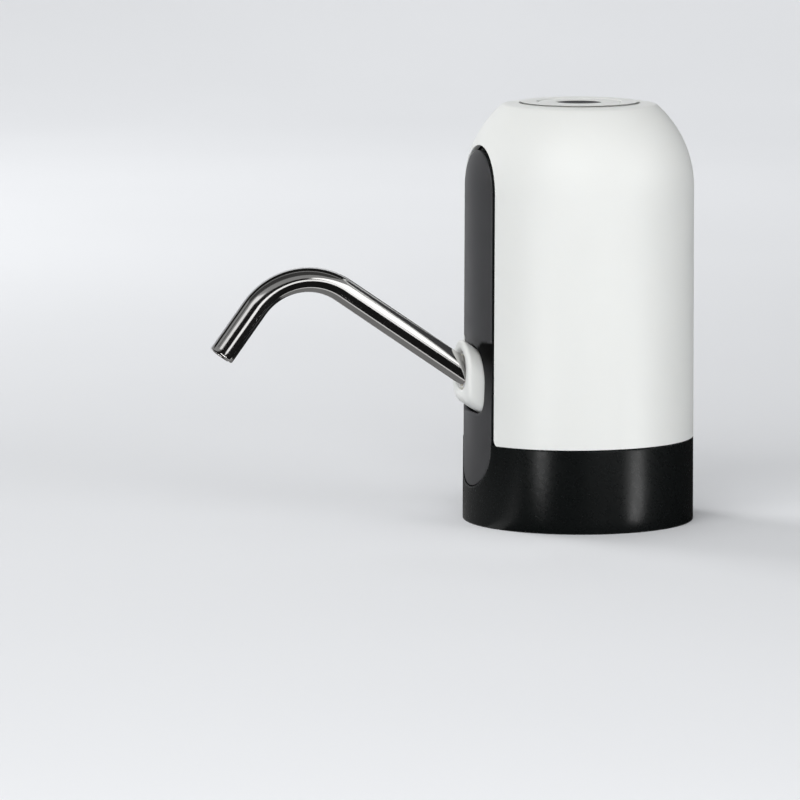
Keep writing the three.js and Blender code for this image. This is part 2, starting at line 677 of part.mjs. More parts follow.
// The thick cup behind the strip that the well is sunk into
function wellCup() {
  const cupShape = wellShape(WELL_WALL);
  const cup = solidOf(slantedPrism(frontPrism(cupShape, wellBackReach, surfaceReach + CUT_OVERRUN)));
  const inside = disc(surfaceReach - STRIP_WALL / 2, floorTop + FIT_GAP, BODY_HEIGHT, BODY_SIDES);
  return cup.intersect(solidOf(inside));
}

function wellSpace() {
  return solidOf(slantedPrism(frontPrism(wellShape(0), wellFloorReach, surfaceReach + CUT_OVERRUN)));
}

function socketHole() {
  const hole = disc(SOCKET_RADIUS + FIT_GAP, -SPOUT_INSERT_LENGTH, SPOUT_ARM_LENGTH);
  return solidOf(onSpoutAxis(hole));
}

// Outlet socket: the slanted sleeve with its round lip, the retaining flange and the rear socket

const socketFlangeReach = wellBackReach - FIT_GAP;
const socketDepth = SPOUT_INSERT_LENGTH + FIT_GAP;
const socketBoreRadius = SPOUT_RADIUS + FIT_GAP + SEAL_WALL + FIT_GAP;

function outletSocket() {
  const rearReach = socketFlangeReach - SOCKET_FLANGE_WALL;
  const sleeve = lippedSleeve(rearReach, surfaceReach + SOCKET_REACH);
  const flangeShape = ellipse(SOCKET_RADIUS + SOCKET_FLANGE_OVERLAP,
    (SOCKET_RADIUS + SOCKET_FLANGE_OVERLAP) * axisStretch, 0);
  const flange = solidOf(slantedPrism(frontPrism(flangeShape, rearReach, socketFlangeReach)));
  const rearStart = (surfaceReach - socketFlangeReach) * axisStretch;
  const rear = solidOf(onSpoutAxis(disc(SOCKET_REAR_RADIUS, -socketDepth - SOCKET_END_WALL, -rearStart)));
  const bore = solidOf(onSpoutAxis(disc(socketBoreRadius, -socketDepth, SPOUT_ARM_LENGTH)));
  const nozzle = solidOf(socketNozzle(NOZZLE_RADIUS, 0));
  const passage = solidOf(socketNozzle(NOZZLE_BORE_RADIUS, CUT_OVERRUN));
  return cut(join(sleeve, flange, rear, nozzle), bore, passage);
}

// A ring with an oval outline whose front edges are rounded, slid along the spout axis
function lippedSleeve(near, far) {
  const shape = ellipse(SOCKET_RADIUS, SOCKET_RADIUS * axisStretch, 0);
  shape.holes.push(ellipse(socketBoreRadius, socketBoreRadius * axisStretch, 0));
  const settings = {
    depth: far - near - 2 * SOCKET_LIP,
    bevelThickness: SOCKET_LIP,
    bevelSize: SOCKET_LIP,
    bevelOffset: -SOCKET_LIP,
    bevelSegments: LIP_STEPS,
    curveSegments: OVAL_SIDES,
  };
  const sleeve = new THREE.ExtrudeGeometry(shape, settings).translate(0, 0, near + SOCKET_LIP);
  return solidOf(slantedPrism(sleeve.rotateX(Math.PI / 2)));
}

const socketEnd = new THREE.Vector3(0, Math.cos(SPOUT_RISE_ANGLE), -Math.sin(SPOUT_RISE_ANGLE))
  .multiplyScalar(socketDepth).add(socketMouth);

const nozzleEndY = socketEnd.y + SOCKET_END_WALL * axisStretch + NOZZLE_LENGTH;

function socketNozzle(radius, overrun) {
  const nozzle = frontPrism(circle(radius), -nozzleEndY - overrun, -socketEnd.y + overrun, SMALL_SIDES);
  return nozzle.translate(0, 0, socketEnd.z);
}

function spoutSeal() {
  const inner = SPOUT_RADIUS + FIT_GAP;
  const tube = ring(inner, inner + SEAL_WALL, -SEAL_INNER_END, SPOUT_ARM_LENGTH / 2);
  const sleeve = solidOf(onSpoutAxis(tube));
  const frontReach = surfaceReach + SOCKET_REACH - SEAL_SETBACK;
  const limit = BODY_BASE_RADIUS;
  return sleeve.intersect(solidOf(blockBetween(-limit, limit, -frontReach, 0, 0, BODY_HEIGHT)));
}

// Spout path in local axes, with its stations placed on the straights and at equal angles on the bend
class SpoutPath extends THREE.Curve {
  constructor() {
    super();
    this.turn = SPOUT_RISE_ANGLE + SPOUT_DROP_ANGLE;
    const bendLength = this.turn * SPOUT_BEND_RADIUS;
    this.bendStart = SPOUT_INSERT_LENGTH + SPOUT_ARM_LENGTH;
    this.bendEnd = this.bendStart + bendLength;
    this.stations = [0];
    this.addStations(this.bendStart, SPOUT_ARM_STEPS);
    this.addStations(bendLength, SPOUT_BEND_STEPS);
    this.addStations(SPOUT_LEG_LENGTH, SPOUT_LEG_STEPS);
  }

  addStations(length, steps) {
    const start = this.stations.at(-1);
    for (let step = 1; step <= steps; step += 1) this.stations.push(start + length * step / steps);
  }

  get steps() {
    return this.stations.length - 1;
  }

  distanceAt(share) {
    const place = share * this.steps;
    const index = Math.min(Math.floor(place), this.steps - 1);
    return THREE.MathUtils.lerp(this.stations[index], this.stations[index + 1], place - index);
  }

  getTangentAt(share) {
    const past = this.distanceAt(share) - this.bendStart;
    const bent = THREE.MathUtils.clamp(past, 0, this.bendEnd - this.bendStart);
    const angle = bent / SPOUT_BEND_RADIUS;
    return new THREE.Vector3(0, -Math.sin(angle), Math.cos(angle));
  }

  getPointAt(share) {
    const distance = this.distanceAt(share);
    const angle = THREE.MathUtils.clamp((distance - this.bendStart) / SPOUT_BEND_RADIUS, 0, this.turn);
    const straight = Math.min(distance, this.bendStart) - SPOUT_INSERT_LENGTH;
    const leg = Math.max(0, distance - this.bendEnd);
    return new THREE.Vector3(
      0,
      -SPOUT_BEND_RADIUS * (1 - Math.cos(angle)) - leg * Math.sin(angle),
      straight + SPOUT_BEND_RADIUS * Math.sin(angle) + leg * Math.cos(angle),
    );
  }
}

function spoutTube() {
  const path = new SpoutPath();
  const section = circle(SPOUT_RADIUS);
  section.holes.push(circle(SPOUT_RADIUS - SPOUT_WALL));
  const settings = { steps: path.steps, extrudePath: path, curveSegments: SPOUT_SIDES / 2 };
  return solidOf(onSpoutAxis(new THREE.ExtrudeGeometry(section, settings)));
}

// Carrier: a floor plate, an upright web between battery and pump, clips, rests and board bosses

function innerFrame() {
  const floorRadius = collarInnerRadius - FIT_GAP;
  const floor = solidOf(disc(floorRadius, shelfTop, floorTop, RING_SIDES));
  const opening = disc(FLOOR_OPENING_RADIUS, shelfTop - CUT_OVERRUN, floorTop);
  const web = blockBetween(WEB_X - WEB_THICKNESS / 2, WEB_X + WEB_THICKNESS / 2, -WEB_FRONT, WEB_BACK,
    floorTop - FLOOR_THICKNESS / 2, boardBottom);
  const bodies = [
    solidOf(web),
    ...boardBosses(),
    ...batteryHolder(),
    ...motorHolder(),
    ...chargePillars(),
  ];
  const frontLimit = bodyRadius(stripFlangeBottom) - SHELL_WALL - STRIP_FLANGE_WALL - 2 * FIT_GAP;
  return cut(
    join(cut(floor, solidOf(opening)), ...bodies),
    ...batteryClearance(),
    ...motorClearance(),
    ...screwHoles(shelfTop, floorTop),
    ...boardScrewHoles(),
    strip(frontLimit),
  );
}

function boardScrewPlaces() {
  return [-WEB_FRONT + BOARD_BOSS_RADIUS, WEB_BACK - BOARD_BOSS_RADIUS].map((y) => [WEB_X, y]);
}

function boardBosses() {
  return boardScrewPlaces().map(([x, y]) => {
    const boss = disc(BOARD_BOSS_RADIUS, boardBottom - BOARD_BOSS_LENGTH, boardBottom, SMALL_SIDES);
    return solidOf(boss.translate(x, y, 0));
  });
}

function boardScrewHoles() {
  return boardScrewPlaces().map(([x, y]) => {
    const radius = BOARD_SCREW_RADIUS + FIT_GAP;
    const depth = BOARD_SCREW_LENGTH - BOARD_THICKNESS + FIT_GAP;
    const hole = disc(radius, boardBottom - depth, boardBottom + CUT_OVERRUN, SCREW_SIDES);
    return solidOf(hole.translate(x, y, 0));
  });
}

// Two round clips on the web, at a quarter and at three quarters of what they hold
function clipHeights(bottom, length) {
  return [1 / 4, 3 / 4].map((share) => bottom + length * share - CLIP_HEIGHT / 2);
}

function clips(x, y, radius, heights) {
  return heights.map((height) => {
    const round = disc(radius + FIT_GAP + CLIP_WALL, height, height + CLIP_HEIGHT);
    const [from, to] = [Math.min(x, WEB_X), Math.max(x, WEB_X)];
    const bridge = blockBetween(from, to, y - radius / 2, y + radius / 2, height, height + CLIP_HEIGHT);
    return join(solidOf(round.translate(x, y, 0)), solidOf(bridge));
  });
}

function batteryHolder() {
  const heights = clipHeights(batteryBottom, BATTERY_LENGTH);
  const rest = disc(BATTERY_RADIUS, batteryBottom - BATTERY_REST_THICKNESS, batteryBottom);
  const reach = BATTERY_RADIUS / 2;
  const bridge = blockBetween(BATTERY_X, WEB_X, BATTERY_Y - reach, BATTERY_Y + reach,
    batteryBottom - BATTERY_REST_THICKNESS, batteryBottom);
  return [
    ...clips(BATTERY_X, BATTERY_Y, BATTERY_RADIUS, heights),
    solidOf(rest.translate(BATTERY_X, BATTERY_Y, 0)),
    solidOf(bridge),
  ];
}

function batteryClearance() {
  const space = disc(BATTERY_RADIUS + FIT_GAP, batteryBottom, boardBottom);
  return [solidOf(space.translate(BATTERY_X, BATTERY_Y, 0))];
}

function motorClipHeights() {
  return [caseTop, motorTop - MOTOR_CAP_THICKNESS - CLIP_HEIGHT];
}

function motorHolder() {
  return clips(PUMP_X, PUMP_Y, MOTOR_RADIUS, motorClipHeights());
}

function motorClearance() {
  const space = disc(MOTOR_RADIUS + FIT_GAP, caseTop - CUT_OVERRUN, boardBottom);
  return [solidOf(space.translate(PUMP_X, PUMP_Y, 0))];
}

const chargeBoardBack = bodyRadius(chargeBoardTop) - SHELL_WALL - FIT_GAP * 2 - USB_RECESS;

function chargePillars() {
  const size = CHARGE_PILLAR_SIZE;
  const y = chargeBoardBack - CHARGE_BOARD_DEPTH + size / 2;
  return [-1, 1].map((side) => {
    const x = side * (CHARGE_BOARD_WIDTH - size) / 2;
    const top = chargeBoardTop - CHARGE_BOARD_THICKNESS;
    return solidOf(blockBetween(x - size / 2, x + size / 2, y - size / 2, y + size / 2, shelfTop, top));
  });
}

// Charging port

function chargeBoard() {
  const half = CHARGE_BOARD_WIDTH / 2;
  const board = blockBetween(-half, half, chargeBoardBack - CHARGE_BOARD_DEPTH, chargeBoardBack,
    chargeBoardTop - CHARGE_BOARD_THICKNESS, chargeBoardTop);
  const inside = disc(bodyRadius(chargeBoardTop) - SHELL_WALL - FIT_GAP, 0, BODY_HEIGHT, BODY_SIDES);
  return solidOf(board).intersect(solidOf(inside));
}

function usbSocket() {
  const shell = roundedRectangle(USB_WIDTH, USB_HEIGHT, USB_CORNER_RADIUS);
  const [mouthWidth, mouthHeight] = [USB_WIDTH - 2 * USB_WALL, USB_HEIGHT - 2 * USB_WALL];
  const mouth = roundedRectangle(mouthWidth, mouthHeight, USB_CORNER_RADIUS - USB_WALL);
  const back = chargeBoardBack + USB_RECESS / 2;
  const tongueBottom = chargeBoardTop + USB_HEIGHT / 2;
  const place = (geometry) => solidOf(geometry.rotateZ(Math.PI).translate(0, 0, tongueBottom));
  const tongue = blockBetween(-USB_TONGUE_WIDTH / 2, USB_TONGUE_WIDTH / 2, back - USB_DEPTH + USB_WALL,
    back - USB_WALL, tongueBottom, tongueBottom + USB_TONGUE_THICKNESS);
  return join(
    cut(
      place(frontPrism(shell, back - USB_DEPTH, back, CORNER_SIDES)),
      place(frontPrism(mouth, back - USB_DEPTH + 2 * USB_WALL, back + CUT_OVERRUN, CORNER_SIDES)),
    ),
    solidOf(tongue),
  );
}

function lampCylinder(radius, reach) {
  const lamp = prism(circle(radius), reach - 2 * LAMP_LENGTH, reach, LAMP_SIDES);
  return lamp.rotateX(-Math.PI / 2).translate(LAMP_X, 0, chargeBoardTop + LAMP_RADIUS + FIT_GAP);
}

function chargeLamp() {
  const reach = Math.sqrt(bodyRadius(chargeBoardTop) ** 2 - (LAMP_X + LAMP_RADIUS) ** 2);
  const lamp = solidOf(lampCylinder(LAMP_RADIUS, reach));
  const rear = reach - LAMP_LENGTH;
  return cut(lamp, solidOf(block(BODY_HEIGHT, 2 * rear, BODY_HEIGHT)));
}

// Battery

function batteryCell() {
  const top = batteryBottom + BATTERY_LENGTH;
  const edge = BATTERY_EDGE_RADIUS;
  const outline = [
    [0, batteryBottom],
    [BATTERY_RADIUS - edge, batteryBottom],
    [BATTERY_RADIUS, batteryBottom + edge],
    [BATTERY_RADIUS, top - edge],
    [BATTERY_RADIUS - edge, top],
    [BATTERY_TERMINAL_RADIUS, top],
    [BATTERY_TERMINAL_RADIUS, top + BATTERY_TERMINAL_HEIGHT],
    [0, top + BATTERY_TERMINAL_HEIGHT],
  ];
  return solidOf(turned(outline, ROUND_SIDES, false).translate(BATTERY_X, BATTERY_Y, 0));
}

// Pump

function onPumpAxis(geometry) {
  return solidOf(geometry.translate(PUMP_X, PUMP_Y, 0));
}

const pumpOutline = roundedRectangle(PUMP_WIDTH, PUMP_WIDTH, PUMP_CORNER_RADIUS);
const inletPlace = polar(PUMP_INLET_OFFSET, PUMP_PORT_ANGLE);
const outletPlace = polar(PUMP_OUTLET_OFFSET, PUMP_PORT_ANGLE + Math.PI);
const nozzleBottom = headBottom - PUMP_NOZZLE_LENGTH;
const tubeTop = headBottom - PUMP_SCREW_HEAD_HEIGHT - FIT_GAP;

function pumpLayer(bottom, top) {
  return onPumpAxis(prism(pumpOutline, bottom, top, PUMP_CORNER_SIDES));
}

function pumpScrewPlaces() {
  return [0, 1, 2, 3].map((quarter) => {
    const angle = Math.PI / 4 + quarter * Math.PI / 2;
    return polar(PUMP_SCREW_OFFSET * Math.SQRT2, angle);
  });
}

function pumpScrewHoles(bottom, top) {
  return pumpScrewPlaces().map(([x, y]) => {
    return onPumpAxis(disc(PUMP_SCREW_RADIUS + FIT_GAP, bottom, top, SCREW_SIDES).translate(x, y, 0));
  });
}

function cupPlaces(radius) {
  return Array.from({ length: CUP_COUNT }, (_, index) => polar(radius, 2 * Math.PI * index / CUP_COUNT));
}

function pumpHead() {
  const chamberFloor = headTop - CHAMBER_DEPTH;
  const nozzles = [inletPlace, outletPlace].map(([x, y]) => {
    return onPumpAxis(disc(PUMP_NOZZLE_RADIUS, nozzleBottom, headBottom + CHAMBER_DEPTH / 2, SMALL_SIDES)
      .translate(x, y, 0));
  });
  const boreTop = chamberFloor + CHAMBER_DEPTH / 2;
  const bores = [inletPlace, outletPlace].map(([x, y]) => {
    return onPumpAxis(disc(PUMP_NOZZLE_BORE_RADIUS, nozzleBottom - CUT_OVERRUN, boreTop, SCREW_SIDES)
      .translate(x, y, 0));
  });
  const inletChamber = ring(INLET_CHAMBER_INNER_RADIUS, INLET_CHAMBER_OUTER_RADIUS, chamberFloor,
    headTop + CUT_OVERRUN);
  return cut(
    join(pumpLayer(headBottom, headTop), ...nozzles),
    ...bores,
    onPumpAxis(disc(OUTLET_CHAMBER_RADIUS, chamberFloor, headTop + CUT_OVERRUN)),
    onPumpAxis(inletChamber),
    ...pumpScrewHoles(headBottom - CUT_OVERRUN, headTop + CUT_OVERRUN),
  );
}

function valvePlate() {
  const holeRadii = VALVE_HOLE_SHARES.map((share) => CUP_CIRCLE_RADIUS + share * CUP_RADIUS);
  const [low, high] = [headTop - CUT_OVERRUN, valvePlateTop + CUT_OVERRUN];
  const holes = holeRadii.flatMap(cupPlaces).map(([x, y]) => {
    return onPumpAxis(disc(VALVE_HOLE_RADIUS, low, high, SCREW_SIDES).translate(x, y, 0));
  });
  return cut(pumpLayer(headTop, valvePlateTop), ...holes, ...pumpScrewHoles(low, high));
}

// Rubber sheet with a cup over each chamber and a headed stud on each cup
function diaphragm() {
  const studTop = studHeadBottom + STUD_HEAD_HEIGHT;
  const cups = cupPlaces(CUP_CIRCLE_RADIUS).map(([x, y]) => onPumpAxis(turned([
    [0, valvePlateTop],
    [CUP_RADIUS, valvePlateTop],
    [CUP_RADIUS, diaphragmTop],
    [CUP_RADIUS * CUP_TOP_SHARE, cupTop],
    [STUD_RADIUS, cupTop],
    [STUD_RADIUS, studHeadBottom],
    [STUD_HEAD_RADIUS, studHeadBottom],
    [STUD_HEAD_RADIUS, studTop],
    [0, studTop],
  ], SMALL_SIDES, false).translate(x, y, 0)));
  const hollows = cupPlaces(CUP_CIRCLE_RADIUS).map(([x, y]) => onPumpAxis(turned([
    [0, valvePlateTop - CUT_OVERRUN],
    [CUP_RADIUS - CUP_WALL, valvePlateTop - CUT_OVERRUN],
    [CUP_RADIUS - CUP_WALL, diaphragmTop],
    [(CUP_RADIUS - CUP_WALL) / 2, cupTop - CUP_WALL],
    [0, cupTop - CUP_WALL],
  ], SMALL_SIDES, false).translate(x, y, 0)));
  return cut(join(pumpLayer(valvePlateTop, diaphragmTop), ...cups), ...hollows,
    ...pumpScrewHoles(valvePlateTop - CUT_OVERRUN, diaphragmTop + CUT_OVERRUN));
}

function pumpCase() {
  const roofBottom = caseTop - CASE_ROOF;
  return cut(
    pumpLayer(diaphragmTop, caseTop),
    onPumpAxis(disc(CASE_BORE_RADIUS, diaphragmTop - CUT_OVERRUN, roofBottom)),
    onPumpAxis(disc(MOTOR_BOSS_RADIUS + FIT_GAP, roofBottom - CUT_OVERRUN, caseTop + CUT_OVERRUN)),
    ...pumpScrewHoles(diaphragmTop - CUT_OVERRUN, headBottom + PUMP_SCREW_LENGTH + FIT_GAP),
  );
}

function pumpScrew([x, y]) {
  const headHeight = headBottom - PUMP_SCREW_HEAD_HEIGHT;
  return onPumpAxis(turned([
    [0, headHeight],
    [PUMP_SCREW_HEAD_RADIUS, headHeight],
    [PUMP_SCREW_HEAD_RADIUS, headBottom],
    [PUMP_SCREW_RADIUS, headBottom],
    [PUMP_SCREW_RADIUS, headBottom + PUMP_SCREW_LENGTH],
    [0, headBottom + PUMP_SCREW_LENGTH],
  ], SCREW_SIDES, false).translate(x, y, 0));
}

// Wobble drive: the tilt pin leans out from the pivot below and sits in the hub at its upper end

function onTiltAxis(geometry) {
  return onPumpAxis(geometry.rotateY(WOBBLE_ANGLE).translate(0, 0, wobbleHeight));
}

const tiltPinTop = (hubBottom + HUB_SOCKET_DEPTH - wobbleHeight) / Math.cos(WOBBLE_ANGLE);

function wobblePlate() {
  const half = WOBBLE_THICKNESS / 2;
  const arms = cupPlaces(CUP_CIRCLE_RADIUS).flatMap(([x, y]) => {
    const angle = Math.atan2(y, x);
    const bar = block(CUP_CIRCLE_RADIUS, WOBBLE_ARM_WIDTH, WOBBLE_THICKNESS);
    bar.translate(CUP_CIRCLE_RADIUS / 2, 0, 0).rotateZ(angle);
    const end = disc(WOBBLE_ARM_RADIUS, -half, half, SMALL_SIDES).translate(x, y, 0);
    return [onTiltAxis(bar), onTiltAxis(end)];
  });
  const holes = cupPlaces(CUP_CIRCLE_RADIUS).map(([x, y]) => {
    const hole = disc(STUD_RADIUS + WOBBLE_SWING_GAP, -CUT_OVERRUN, CUT_OVERRUN, SCREW_SIDES);
    return onTiltAxis(hole.translate(x, y, 0));
  });
  const hub = onTiltAxis(disc(WOBBLE_HUB_RADIUS, -half, half + WOBBLE_HUB_HEIGHT, SMALL_SIDES));
  const bore = onTiltAxis(disc(TILT_PIN_RADIUS + FIT_GAP, -half + CUP_WALL, tiltPinTop, SMALL_SIDES));
  return cut(join(hub, ...arms), ...holes, bore);
}

function tiltPin() {
  const start = -WOBBLE_THICKNESS / 2 + CUP_WALL + FIT_GAP;
  return onTiltAxis(disc(TILT_PIN_RADIUS, start, tiltPinTop, SMALL_SIDES));
}

function driveHub() {
  const pinHole = disc(TILT_PIN_RADIUS + FIT_GAP, 0, tiltPinTop + FIT_GAP, SMALL_SIDES);
  return cut(
    onPumpAxis(disc(HUB_RADIUS, hubBottom, hubTop, ROUND_SIDES)),
    onTiltAxis(pinHole),
    onPumpAxis(disc(SHAFT_RADIUS + FIT_GAP, hubTop - HUB_SOCKET_DEPTH, hubTop + CUT_OVERRUN, SMALL_SIDES)),
  );
}

// Motor

const canInnerRadius = MOTOR_RADIUS - MOTOR_WALL;
const magnetInnerRadius = canInnerRadius - FIT_GAP - MAGNET_THICKNESS;
const canFloor = caseTop + MOTOR_WALL;
const capBottom = motorTop - MOTOR_CAP_THICKNESS;
const rotorBottom = canFloor + MAGNET_END_GAP;
const rotorTop = rotorBottom + ROTOR_LENGTH;

function motorCan() {
  const shaftHole = SHAFT_RADIUS + FIT_GAP;
  return onPumpAxis(turned([
    [shaftHole, caseTop - MOTOR_BOSS_HEIGHT],
    [MOTOR_BOSS_RADIUS, caseTop - MOTOR_BOSS_HEIGHT],
    [MOTOR_BOSS_RADIUS, caseTop],
    [MOTOR_RADIUS, caseTop],
    [MOTOR_RADIUS, motorTop],
    [canInnerRadius, motorTop],
    [canInnerRadius, canFloor],
    [shaftHole, canFloor],
  ], ROUND_SIDES));
}

function motorEndCap() {
  return onPumpAxis(turned([
    [SHAFT_RADIUS + FIT_GAP, capBottom],
    [canInnerRadius - FIT_GAP, capBottom],
    [canInnerRadius - FIT_GAP, motorTop],
    [MOTOR_BOSS_RADIUS, motorTop],
    [MOTOR_BOSS_RADIUS, motorTop + MOTOR_BOSS_HEIGHT],
    [SHAFT_RADIUS + FIT_GAP, motorTop + MOTOR_BOSS_HEIGHT],
  ], ROUND_SIDES));
}

function motorMagnet(middleAngle) {
  const [start, end] = [middleAngle - MAGNET_SPAN / 2, middleAngle + MAGNET_SPAN / 2];
  const shape = new THREE.Shape();
  shape.absarc(0, 0, canInnerRadius - FIT_GAP, start, end);
  shape.absarc(0, 0, magnetInnerRadius, end, start, true);
  return onPumpAxis(prism(shape, canFloor, rotorTop + FIT_GAP, SMALL_SIDES));
}

function motorRotor() {
  const radius = magnetInnerRadius - ROTOR_AIR_GAP;
  const core = onPumpAxis(ring(SHAFT_RADIUS + FIT_GAP, radius, rotorBottom, rotorTop));
  const slots = Array.from({ length: ROTOR_SLOTS }, (_, index) => {
    const slot = block(ROTOR_SLOT_DEPTH, ROTOR_SLOT_WIDTH, ROTOR_LENGTH + CUT_OVERRUN);
    slot.translate(radius - ROTOR_SLOT_DEPTH / 2 + FIT_GAP, 0, (rotorBottom + rotorTop) / 2);
    return onPumpAxis(slot.rotateZ(2 * Math.PI * index / ROTOR_SLOTS));
  });
  return cut(core, ...slots);
}

function commutator() {
  const bottom = rotorTop + FIT_GAP;
  const top = bottom + COMMUTATOR_LENGTH;
  return onPumpAxis(ring(SHAFT_RADIUS + FIT_GAP, COMMUTATOR_RADIUS, bottom, top, SMALL_SIDES));
}

function motorShaft() {
  const bottom = hubTop - HUB_SOCKET_DEPTH + FIT_GAP;
  return onPumpAxis(disc(SHAFT_RADIUS, bottom, motorTop + MOTOR_BOSS_HEIGHT, SMALL_SIDES));
}

// Inner water tubes, with straight ends over the nozzles and one smooth bend between them

function waterTube([start, bendStart, bendEnd, end], nozzleRadius) {
  const inner = nozzleRadius + FIT_GAP;
  const section = circle(inner + WATER_TUBE_WALL);
  section.holes.push(circle(inner));
  const reach = bendStart.distanceTo(bendEnd) * WATER_TUBE_BEND_SHARE;
  const leave = bendStart.clone().sub(start).setLength(reach).add(bendStart);
  const arrive = bendEnd.clone().sub(end).setLength(reach).add(bendEnd);
  const path = new THREE.CurvePath();
  path.add(new THREE.LineCurve3(start, bendStart));
  path.add(new THREE.CubicBezierCurve3(bendStart, leave, arrive, bendEnd));
  path.add(new THREE.LineCurve3(bendEnd, end));
  const settings = { steps: WATER_TUBE_STEPS, extrudePath: path, curveSegments: WATER_TUBE_SIDES / 2 };
  return solidOf(new THREE.ExtrudeGeometry(section, settings));
}

function inletTube() {
  const [x, y] = [PUMP_X + inletPlace[0], PUMP_Y + inletPlace[1]];
  return waterTube([
    new THREE.Vector3(0, 0, flangeTop + FIT_GAP),
    new THREE.Vector3(0, 0, spigotTop + WATER_TUBE_OVERHANG),
    new THREE.Vector3(x, y, nozzleBottom - WATER_TUBE_OVERHANG),
    new THREE.Vector3(x, y, tubeTop),
  ], Math.max(CONNECTOR_SPIGOT_RADIUS, PUMP_NOZZLE_RADIUS));
}

function outletTube() {
  const [x, y] = [PUMP_X + outletPlace[0], PUMP_Y + outletPlace[1]];
  return waterTube([
    new THREE.Vector3(0, nozzleEndY - NOZZLE_LENGTH / 2, socketEnd.z),
    new THREE.Vector3(0, nozzleEndY + WATER_TUBE_OVERHANG, socketEnd.z),
    new THREE.Vector3(x, y, nozzleBottom - WATER_TUBE_OVERHANG),
    new THREE.Vector3(x, y, tubeTop),
  ], Math.max(NOZZLE_RADIUS, PUMP_NOZZLE_RADIUS));
}

// Crown

function topCover() {
  const holeRadius = BUTTON_RADIUS + FIT_GAP;
  const flangeBottom = coverFlangeTop - COVER_FLANGE_THICKNESS;
  return solidOf(turned([
    [holeRadius, coverSleeveBottom],
    [holeRadius + COVER_SLEEVE_WALL, coverSleeveBottom],
    [holeRadius + COVER_SLEEVE_WALL, flangeBottom],
    [COVER_FLANGE_RADIUS, flangeBottom],
    [COVER_FLANGE_RADIUS, coverFlangeTop],
    [CROWN_DISC_RADIUS, coverFlangeTop],
    [CROWN_DISC_RADIUS, BODY_HEIGHT - COVER_EDGE_CHAMFER],
    [CROWN_DISC_RADIUS - COVER_EDGE_CHAMFER, BODY_HEIGHT],
    [holeRadius + COVER_EDGE_CHAMFER, BODY_HEIGHT],
    [holeRadius, BODY_HEIGHT - COVER_EDGE_CHAMFER],
  ], RING_SIDES));
}

const switchTop = boardTop + SWITCH_HEIGHT;
const plungerTop = switchTop + PLUNGER_HEIGHT;
const buttonTop = BODY_HEIGHT - BUTTON_CROWN_DROP;

function powerButton() {
  const catchTop = coverSleeveBottom - FIT_GAP;
  const catchBottom = catchTop - BUTTON_CATCH_THICKNESS;
  const skirtInner = BUTTON_RADIUS - BUTTON_WALL;
  const padFloor = buttonTop - INLAY_THICKNESS;
  const roof = padFloor - BUTTON_WALL;
  return solidOf(turned([
    [0, plungerTop + FIT_GAP],
    [BUTTON_STEM_RADIUS, plungerTop + FIT_GAP],
    [BUTTON_STEM_RADIUS, roof],
    [skirtInner, roof],
    [skirtInner, catchBottom],
    [BUTTON_RADIUS + BUTTON_CATCH_OVERLAP, catchBottom],
    [BUTTON_RADIUS + BUTTON_CATCH_OVERLAP, catchTop],
    [BUTTON_RADIUS, catchTop],
    [BUTTON_RADIUS, buttonTop - BUTTON_EDGE_CHAMFER],
    [BUTTON_RADIUS - BUTTON_EDGE_CHAMFER, buttonTop],
    [INLAY_RADIUS + FIT_GAP, buttonTop],
    [INLAY_RADIUS + FIT_GAP, padFloor],
    [0, padFloor],
  ], RING_SIDES, false));
}

function buttonInlay() {
  const bottom = buttonTop - INLAY_THICKNESS;
  return solidOf(turned([
    [0, bottom],
    [INLAY_RADIUS, bottom],
    [INLAY_RADIUS, buttonTop - BUTTON_EDGE_CHAMFER / 2],
    [INLAY_RADIUS - BUTTON_EDGE_CHAMFER / 2, buttonTop],
    [INLAY_RADIUS / 2, buttonTop - INLAY_DISH * INLAY_DISH_SHARE],
    [0, buttonTop - INLAY_DISH],
  ], ROUND_SIDES, false));
}

function circuitBoard() {
  const board = solidOf(disc(BOARD_RADIUS, boardBottom, boardTop, ROUND_SIDES));
  const chips = CHIP_SHARES.map((shares) => {
    const [x, y, size, height] = shares.map((share) => share * BOARD_RADIUS);
    const chip = block(size, size, height + BOARD_THICKNESS).translate(x, y, boardTop + height / 2);
    return solidOf(chip.translate(0, 0, -BOARD_THICKNESS / 2));
  });
  const holes = boardScrewPlaces().map(([x, y]) => {
    const radius = BOARD_SCREW_RADIUS + FIT_GAP;
    const hole = disc(radius, boardBottom - CUT_OVERRUN, boardTop + CUT_OVERRUN, SCREW_SIDES);
    return solidOf(hole.translate(x, y, 0));
  });
  return cut(join(board, ...chips), ...holes);
}

function boardScrew([x, y]) {
  return solidOf(turned([
    [0, boardTop - BOARD_SCREW_LENGTH],
    [BOARD_SCREW_RADIUS, boardTop - BOARD_SCREW_LENGTH],
    [BOARD_SCREW_RADIUS, boardTop],
    [BOARD_SCREW_HEAD_RADIUS, boardTop],
    [BOARD_SCREW_HEAD_RADIUS, boardTop + BOARD_SCREW_HEAD_HEIGHT],
    [0, boardTop + BOARD_SCREW_HEAD_HEIGHT],
  ], SCREW_SIDES, false).translate(x, y, 0));
}

function tactSwitch() {
  const half = SWITCH_SIZE / 2;
  return solidOf(blockBetween(-half, half, -half, half, boardTop, switchTop));
}

function switchPlunger() {
  return solidOf(disc(PLUNGER_RADIUS, switchTop + BUTTON_TRAVEL + FIT_GAP, plungerTop, SMALL_SIDES));
}

// Assembly

const pump = new THREE.Group();

